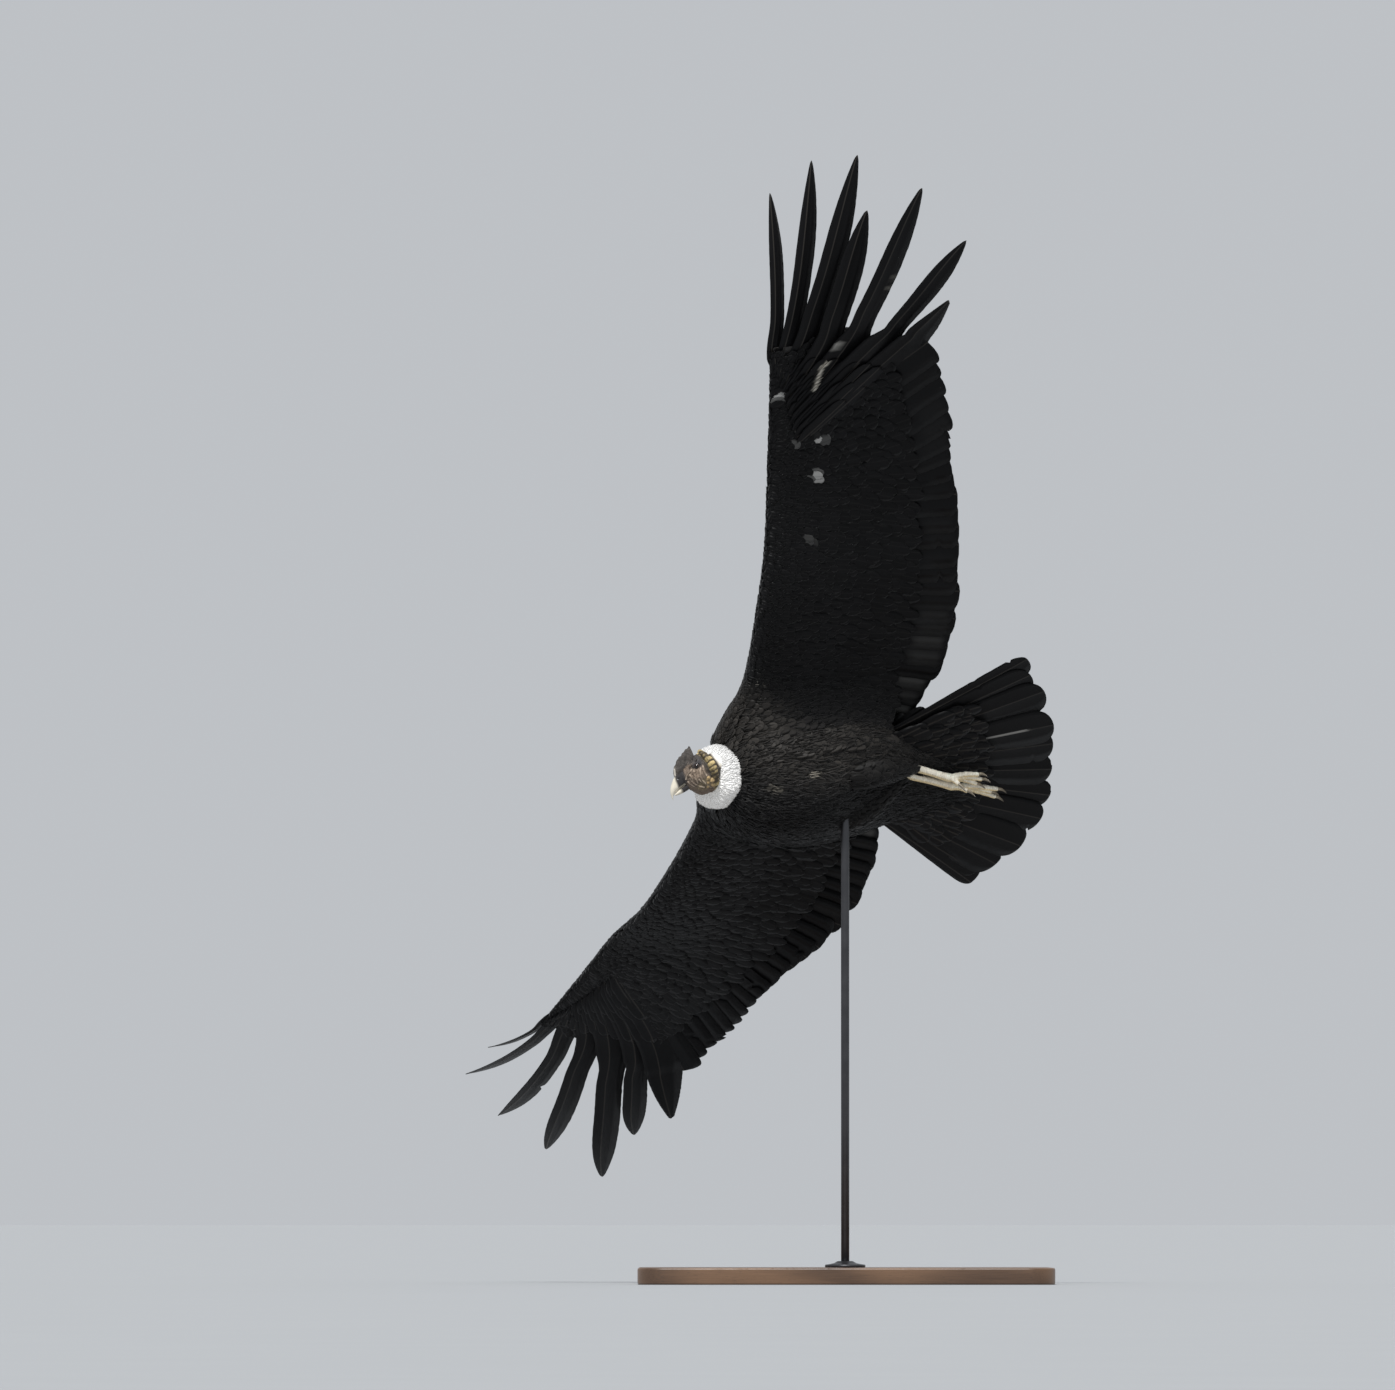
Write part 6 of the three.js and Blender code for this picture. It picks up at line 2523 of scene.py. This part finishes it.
@dataclass(frozen=True)
class Skin:
    """The one skin of the bird: bare on the head, neck, shanks and toes, and under the coat elsewhere."""

    head: Head
    legs: tuple
    body: BodyShape
    wings: tuple
    finish: bpy.types.Material
    depth: float = 0.011
    arm_depth: float = 0.006
    slope_depth: float = 0.009
    fine: float = 0.0013
    socket: float = 8.9
    feathered: tuple = (0.020, 0.018, 0.017)
    leg: tuple = (0.96, 0.89, 0.74)
    # The next colour is painted shade: the leg darker and yellower on its side away from the light.
    leg_under: tuple = (0.88, 0.70, 0.40)
    white: tuple = (0.90, 0.89, 0.87)

    def build(self) -> None:
        """Melts the fine parts, joins them to the plain ones, then adds folds and colours."""
        whole = temporary("skin_whole", self.body.flesh(self.depth))
        parts = [melted("skin_head", self.head.flesh(), self.fine, 2)]
        for leg in self.legs:
            parts.append(melted(f"skin_{leg.side.word}_leg", leg.flesh(), self.fine, 2))
            parts.append(temporary(f"skin_{leg.side.word}_thigh", leg.thigh_flesh(self.depth)))
        for wing in self.wings:
            parts.append(temporary(f"skin_{wing.side.word}_arm", wing.flesh(self.arm_depth)))
            for face in Face:
                name = f"skin_{wing.side.word}_{face.name.lower()}_slope"
                parts.append(temporary(name, SlopeShape(wing, self.body, face).flesh(self.slope_depth)))
        sockets = [blob(np.array(self.head.eye) * [1, s.value, 1], (self.socket,) * 3) for s in Side]
        sockets = [(HEAD.out(points * MM), faces) for points, faces in sockets]
        holes = temporary("sockets", gathered(sockets))
        for number, part in enumerate((*parts, holes)):
            joined = whole.modifiers.new(f"part_{number}", "BOOLEAN")
            joined.operation = "DIFFERENCE" if part is holes else "UNION"
            joined.solver = "MANIFOLD"
            joined.object = part
        mesh = worked(whole)
        for part in (*parts, holes):
            bpy.data.objects.remove(part)
        self.dress(mesh)

    def dress(self, mesh: bpy.types.Mesh) -> None:
        """Moves the corners by the folds' height and gives each its colour, in the bird's axes.

        Args:
            mesh: the joined skin.
        """
        places, normals = np.zeros((2, len(mesh.vertices), 3), np.float32)
        mesh.vertices.foreach_get("co", places.ravel())
        mesh.vertex_normals.foreach_get("vector", normals.ravel())
        places, normals = places.astype(float), normals.astype(float)
        on_head = HEAD.into(places)
        bare = 1 - ease(0.085, 0.11, np.linalg.norm(on_head - np.array([0.0, 0, -0.02]), axis=1))
        near_eye = 1 - ease(0.008, 0.014, np.hypot(on_head[:, 0] - 0.001, on_head[:, 2]))
        ruff = self.head.ruff.nearness(places)
        rise = self.head.relief(on_head) * bare * (1 - 0.85 * near_eye) * (1 - ruff)
        tint = mixed(self.feathered, self.head.tint(on_head), bare[:, None])
        tint = mixed(tint, self.white, ruff[:, None])
        for leg in self.legs:
            ankle, foot = metres(leg.places["ankle"]), metres(leg.places["foot"])
            axis = unit(foot - ankle)
            along = (places - ankle) @ axis
            on_leg = (ease(-0.030, -0.022, along)
                      * (np.linalg.norm(np.cross(places - ankle, axis), axis=1) < 0.055)
                      * (np.abs(places[:, 1] - foot[1]) < 0.05))
            wander = 0.0016 * noise(places, 0.009, 23)
            scutes = np.abs(np.sin((along + wander) * np.pi / 0.0046)) ** 0.5
            pebbles = noise(places, 0.0026, 24)
            front = ease(-0.35, 0.35, normals[:, 2])
            rise = rise + on_leg * ((scutes - 0.8) * 0.00045 * (1 - 0.6 * front) + pebbles * 0.00035 * front)
            shade = 1 + 0.16 * noise(places, 0.012, 21) + 0.14 * noise(places, 0.004, 22)
            # Darker in the grooves between the scutes: painted shade.
            crease = 0.80 + 0.20 * scutes * (1 - front) + 0.20 * front * (1 + 0.5 * pebbles)
            # The side facing the bird's right is painted darker and yellower, as shade.
            under = ease(0.5, -0.15, normals[:, 1])[:, None]
            tone = mixed(self.leg, self.leg_under, under) * (shade * crease)[:, None]
            tint = mixed(tint, tone, on_leg[:, None])
        moved = BIRD.out(places + normals * rise[:, None])
        mesh.vertices.foreach_set("co", np.ascontiguousarray(moved, np.float32).ravel())
        mesh.update()
        mesh.shade_smooth()
        write_colours(mesh, "tint", np.clip(tint, 0.004, 1))
        sides = [side.word for side in Side]
        nodes = ["head", "neck", "trunk", "rump"]
        nodes += [f"{part}_{side}" for side in sides for part in ("thigh", "shank", "foot")]
        nodes += [f"wing_{side}_{part}" for side in sides for part in ("upper_arm", "forearm", "hand")]
        show("skin", mesh, self.finish, tuple(nodes))


@dataclass(frozen=True)
class RuffShape:
    """The plump ring of the ruff.

    A point is the centre plus the ring's radius and the tube's cosine outwards, and the tube's sine along
    the axis, with low waves round the ring.
    """

    centre: tuple = (121, 29, -45)
    axis: tuple = (0.926, 0.256, -0.264)
    ring: float = 44
    radial: float = 28
    axial: float = 31
    throat: tuple = ((120, 26, -46), (132, 46, -49), (141, 62, -51))
    throat_radii: tuple = (39, 38, 33)

    def place(self, sections: np.ndarray, turns: np.ndarray, inset: float = 0.0) -> np.ndarray:
        """Points at angles of the tube's section and angles round the ring.

        Args:
            sections: angles round the tube.
            turns: angles round the ring.
            inset: how much thinner the tube is.

        Returns:
            The points.
        """
        axis = unit(np.array(self.axis))
        first = unit(np.cross(axis, np.array([0, 0, 1.0])))
        second = np.cross(axis, first)
        swell = 1 + 0.06 * np.sin(3 * turns + 0.6) + 0.04 * np.sin(7 * turns)
        radius = self.ring * MM + (self.radial * swell * MM - inset) * np.cos(sections)
        forward = (self.axial * swell * MM - inset) * np.sin(sections)
        outward = np.cos(turns)[..., None] * first + np.sin(turns)[..., None] * second
        return metres(self.centre) + radius[..., None] * outward + forward[..., None] * axis

    def flesh(self, inset: float) -> tuple:
        """The ring's closed skin, under its down."""
        return closed_ring(self.place(circle(24), circle(60)[:, None], inset))

    def collar(self) -> np.ndarray:
        """Rings round the neck from the crest forward to the hood."""
        return tube(metres(self.throat), metres(self.throat_radii), 40, 40)

    def nearness(self, points: np.ndarray) -> np.ndarray:
        """1 in and on the ring, falling to 0 a little outside it.

        Args:
            points: rows of three numbers.

        Returns:
            A number for each point.
        """
        axis = unit(np.array(self.axis))
        off = points - metres(self.centre)
        height = off @ axis
        radius = np.linalg.norm(off - height[:, None] * axis, axis=1) - self.ring * MM
        return 1 - ease(0.92, 1.08, np.hypot(radius / (self.radial * MM), height / (self.axial * MM)))


@dataclass(frozen=True)
class Ruff:
    """The white ruff: tufts of down on a plump ring round the neck."""

    shape: RuffShape
    finish: bpy.types.Material
    pitch: float = 0.00198
    length: tuple = (0.013, 0.022)
    width: tuple = (0.0013, 0.0026)
    lift: tuple = (0.0008, 0.0045)
    collar_length: tuple = (0.009, 0.014)
    collar_width: tuple = (0.0013, 0.0024)
    collar_lift: tuple = (0.001, 0.003)
    white: tuple = (0.95, 0.94, 0.92)

    def build(self) -> None:
        """Lays short curling tufts from the head side over the crest to the body side, and on the neck."""
        rng = np.random.default_rng(71)
        sections = np.radians(np.linspace(178, -92, 61))[:, None]
        around = np.linspace(0, 2 * np.pi, 73)[None]
        grid = self.shape.place(sections, around, 0.005)
        middle = self.shape.place(sections, around, 0.0225)
        sheet = Sheet(grid, True, grid - middle, (0.05, 0.05, 0.35, 0.9))
        length = float(sheet.along.mean())
        u, v = sheet.scattered(np.arange(0.0, 0.93, self.pitch / length), self.pitch, 0.4, rng)
        long = rng.uniform(*self.length, len(u))
        wide = rng.uniform(*self.width, len(u))
        turn = rng.normal(0, 0.28, len(u)) + 0.25 * np.sin(2 * np.pi * v * 5 + 9 * u)
        lift = rng.uniform(*self.lift, len(u))
        plumage = Plumage()
        plumage.lay(self.tone, TUFT, sheet, u, v, long, wide, rng, 0.002, lift[:, None], turn)
        sheet = Sheet.around(self.shape.collar(), (0.55, 0.05, 0.35, 0.9))
        pitch = self.pitch * 1.15
        u, v = sheet.scattered(np.arange(0.05, 0.85, pitch / float(sheet.along.mean())), pitch, 0.4, rng)
        plumage.lay(self.tone, TUFT, sheet, u, v, rng.uniform(*self.collar_length, len(u)),
                    rng.uniform(*self.collar_width, len(u)), rng, 0.002,
                    rng.uniform(*self.collar_lift, len(u))[:, None], rng.normal(0, 0.3, len(u)))
        plumage.show("ruff_down", self.finish, "down", ("ruff",))

    def tone(self, points: np.ndarray, chance: np.ndarray) -> np.ndarray:
        """The colour at each point of the tufts, a little darker at the root and its first ring, as painted
        shade among the tufts.

        Args:
            points: feathers by points by three.
            chance: each feather's chance.

        Returns:
            Feathers by points by three.
        """
        # Darker root and first ring: painted shade.
        shade = np.concatenate([[0.85], np.repeat([0.9, 1.0, 1.0], 3), [1.0]])[None, :, None]
        return np.broadcast_to(self.white, points.shape) * (0.95 + 0.05 * chance)[:, None, None] * shade


@dataclass(frozen=True)
class Stand:
    """The display stand: a wooden base with rounded corners, a steel rod and its collar."""

    wood: bpy.types.Material
    steel: bpy.types.Material
    length: float = 0.9
    width: float = 0.7
    height: float = 0.036
    corner: float = 0.06
    bevel: float = 0.004
    gap: float = 0.0003
    rod: tuple = ((7.5, 0), (9, 1.5), (9, 963.7), (9, 1002.2), (7.5, 1003.7))
    collar: tuple = (
        (42.5, 0), (44, 1.2), (44, 4.8), (43.2, 6), (34, 7.2), (24, 9.5), (18.5, 12.8), (16.5, 13.8),
        (10, 14), (9.3, 13.6),
    )

    def build(self) -> None:
        """Builds and shows the three pieces."""
        show("base_board", make_mesh("base_board", *self.board()), self.wood, ("stand_base",))
        for name, node, profile, sides in (("steel_rod", "stand_rod", self.rod, 64),
                                           ("steel_collar", "stand_collar", self.collar, 96)):
            mesh = make_mesh(name, *self.turned(profile, sides))
            show(name, mesh, self.steel, (node,))

    def turned(self, profile: tuple, sides: int) -> tuple:
        """A turned piece: each radius and height above the base of a profile carried round z.

        Args:
            profile: pairs of radius and height, in millimetres.
            sides: points in a ring.

        Returns:
            The points and the faces.
        """
        radius, height = metres(profile).T[:, :, None]
        turn = circle(sides)
        height = height + self.height + self.gap
        return capped_tube(stacked(radius * np.cos(turn), radius * np.sin(turn), height))

    def board(self) -> tuple:
        """The base: a rounded rectangle drawn in or out by the bevel as it rises.

        Returns:
            The points and the faces.
        """
        quarter = np.linspace(0, np.pi / 2, 17)
        bevel = np.linspace(0, np.pi / 2, 7)
        b = self.bevel
        rim = [(b * (1 - math.sin(a)), b * (1 - math.cos(a))) for a in bevel]
        rim += [(b * (1 - math.cos(a)), self.height - b * (1 - math.sin(a))) for a in bevel]
        inset = [(0.12, 0.0), *rim, (0.05, self.height), (0.12, self.height), (0.22, self.height)]
        rings = []
        for draw, z in inset:
            radius = max(self.corner - draw, 0.0006)
            half = np.array([self.length / 2 - draw - radius, self.width / 2 - draw - radius])
            corners = [half * sign for sign in ((1, 1), (-1, 1), (-1, -1), (1, -1))]
            turns = [quarter + k * np.pi / 2 for k in range(4)]
            flat = np.concatenate([
                corner + radius * np.stack([np.cos(t), np.sin(t)], -1) for corner, t in zip(corners, turns)
            ])
            rings.append(np.hstack([flat, np.full((len(flat), 1), z)]))
        return capped_tube(np.array(rings))


@dataclass(frozen=True)
class Studio:
    """The plain studio: a wide pale floor, soft light from above and the camera at the photograph's angle."""

    centre_x: float = -0.3207
    target_height: float = 1.28
    distance: float = 36.0
    elevation: float = 1.8147
    sensor: float = 36.0
    floor_half: float = 400.0
    floor_dark: tuple = (0.325, 0.335, 0.345)
    floor_pale: tuple = (0.340, 0.350, 0.360)
    sun_source: tuple = (-0.10, -0.55, 0.83)
    sun_power: float = 4.0
    sun_softness: float = 14.0
    sky: tuple = (0.78, 0.81, 0.85)
    sky_power: float = 0.66

    def build(self) -> None:
        """Makes the floor, the lights, the world and the camera."""
        half = self.floor_half
        corners = np.array([(-half, -half, 0), (half, -half, 0), (half, half, 0), (-half, half, 0)], float)
        floor = bpy.data.objects.new("floor", make_mesh("floor", corners, np.array([[0, 1, 2, 3]])))
        bpy.context.scene.collection.objects.link(floor)
        bench = Bench("pale floor")
        cloud = bench.grain(bench.place(), 3.0, 3.0)
        bench.coat(Base_Color=bench.mixed(cloud, self.floor_dark, self.floor_pale), Roughness=0.9)
        bench.coat(Specular_IOR_Level=0.2)
        floor.data.materials.append(bench.material)
        self.sun("key")
        world = bpy.data.worlds.new("studio")
        world.use_nodes = True
        background = world.node_tree.nodes["Background"]
        background.inputs[0].default_value = (*self.sky, 1)
        background.inputs[1].default_value = self.sky_power
        bpy.context.scene.world = world
        self.camera()

    def sun(self, name: str) -> None:
        """Makes an even light from one direction, as wide as its softness in degrees.

        Args:
            name: its name.
        """
        source = self.sun_source
        data = bpy.data.lights.new(name, "SUN")
        data.angle = math.radians(self.sun_softness)
        data.energy = self.sun_power
        lamp = bpy.data.objects.new(name, data)
        bpy.context.scene.collection.objects.link(lamp)
        lamp.location = 6 * np.array(source)
        lamp.rotation_euler = self.look(-np.array(source))

    def look(self, toward: np.ndarray) -> tuple:
        """The angles that turn -z to a direction, with y kept up."""
        flat = math.hypot(toward[0], toward[1])
        return (math.atan2(flat, -toward[2]), 0.0, math.atan2(-toward[0], toward[1]))

    def camera(self) -> None:
        """The camera looks along y, a little upwards, with a long lens."""
        data = bpy.data.cameras.new("camera")
        data.sensor_fit = "HORIZONTAL"
        data.sensor_width = self.sensor
        data.lens = self.sensor * self.distance / (FRAME_WIDTH_PX / PX_PER_METRE)
        data.clip_start = 0.5
        data.clip_end = 2000.0
        camera = bpy.data.objects.new("camera", data)
        bpy.context.scene.collection.objects.link(camera)
        angle = math.radians(self.elevation)
        back = self.distance * math.cos(angle)
        drop = self.distance * math.sin(angle)
        camera.location = (self.centre_x, -back, self.target_height - drop)
        camera.rotation_euler = self.look(np.array([0.0, back, drop]))
        bpy.context.scene.camera = camera
        bpy.context.scene.view_settings.view_transform = "Standard"


def main() -> None:
    """Builds the studio, the bird and its stand, piece by piece."""
    Studio().build()
    black = PlumageFinish("black feather", roughness=0.52, sheen=0.05, shaft=(0.02, 0.019, 0.018)).make()
    flight = PlumageFinish("flight feather", roughness=0.42, sheen=0.03, shaft=(0.045, 0.04, 0.035),
                           shaft_width=0.0017, barb=0.0016, relief=0.25).make()
    down = DownFinish().make()
    skin = SkinFinish("bare skin").make()
    comb = SkinFinish("comb skin", roughness=0.55, wrinkle=700.0).make()
    bill = HornFinish("bill horn").make()
    claw = HornFinish("claw horn", roughness=0.38).make()
    eye = EyeFinish().make()
    head = Head()
    body = BodyShape()
    legs = tuple(Leg(side) for side in Side)
    wings = tuple(WingShape(side) for side in Side)
    Skin(head, legs, body, wings, skin).build()
    head.build_comb(comb)
    head.build_bill(bill)
    head.build_eyes(eye)
    Ruff(head.ruff, down).build()
    BodyCoat(body, black).build()
    for leg in legs:
        leg.coat(black)
        leg.claws(claw)
    for wing in wings:
        FlightFeathers(wing, flight).build()
        Fingers(wing, flight).build()
        for face in Face:
            Coverts(wing, face, black).build()
            SlopeCoat(SlopeShape(wing, body, face), black).build()
    Tail(flight).build()
    Stand(WoodFinish().make(), SteelFinish().make()).build()


if __name__ == "__main__":
    main()
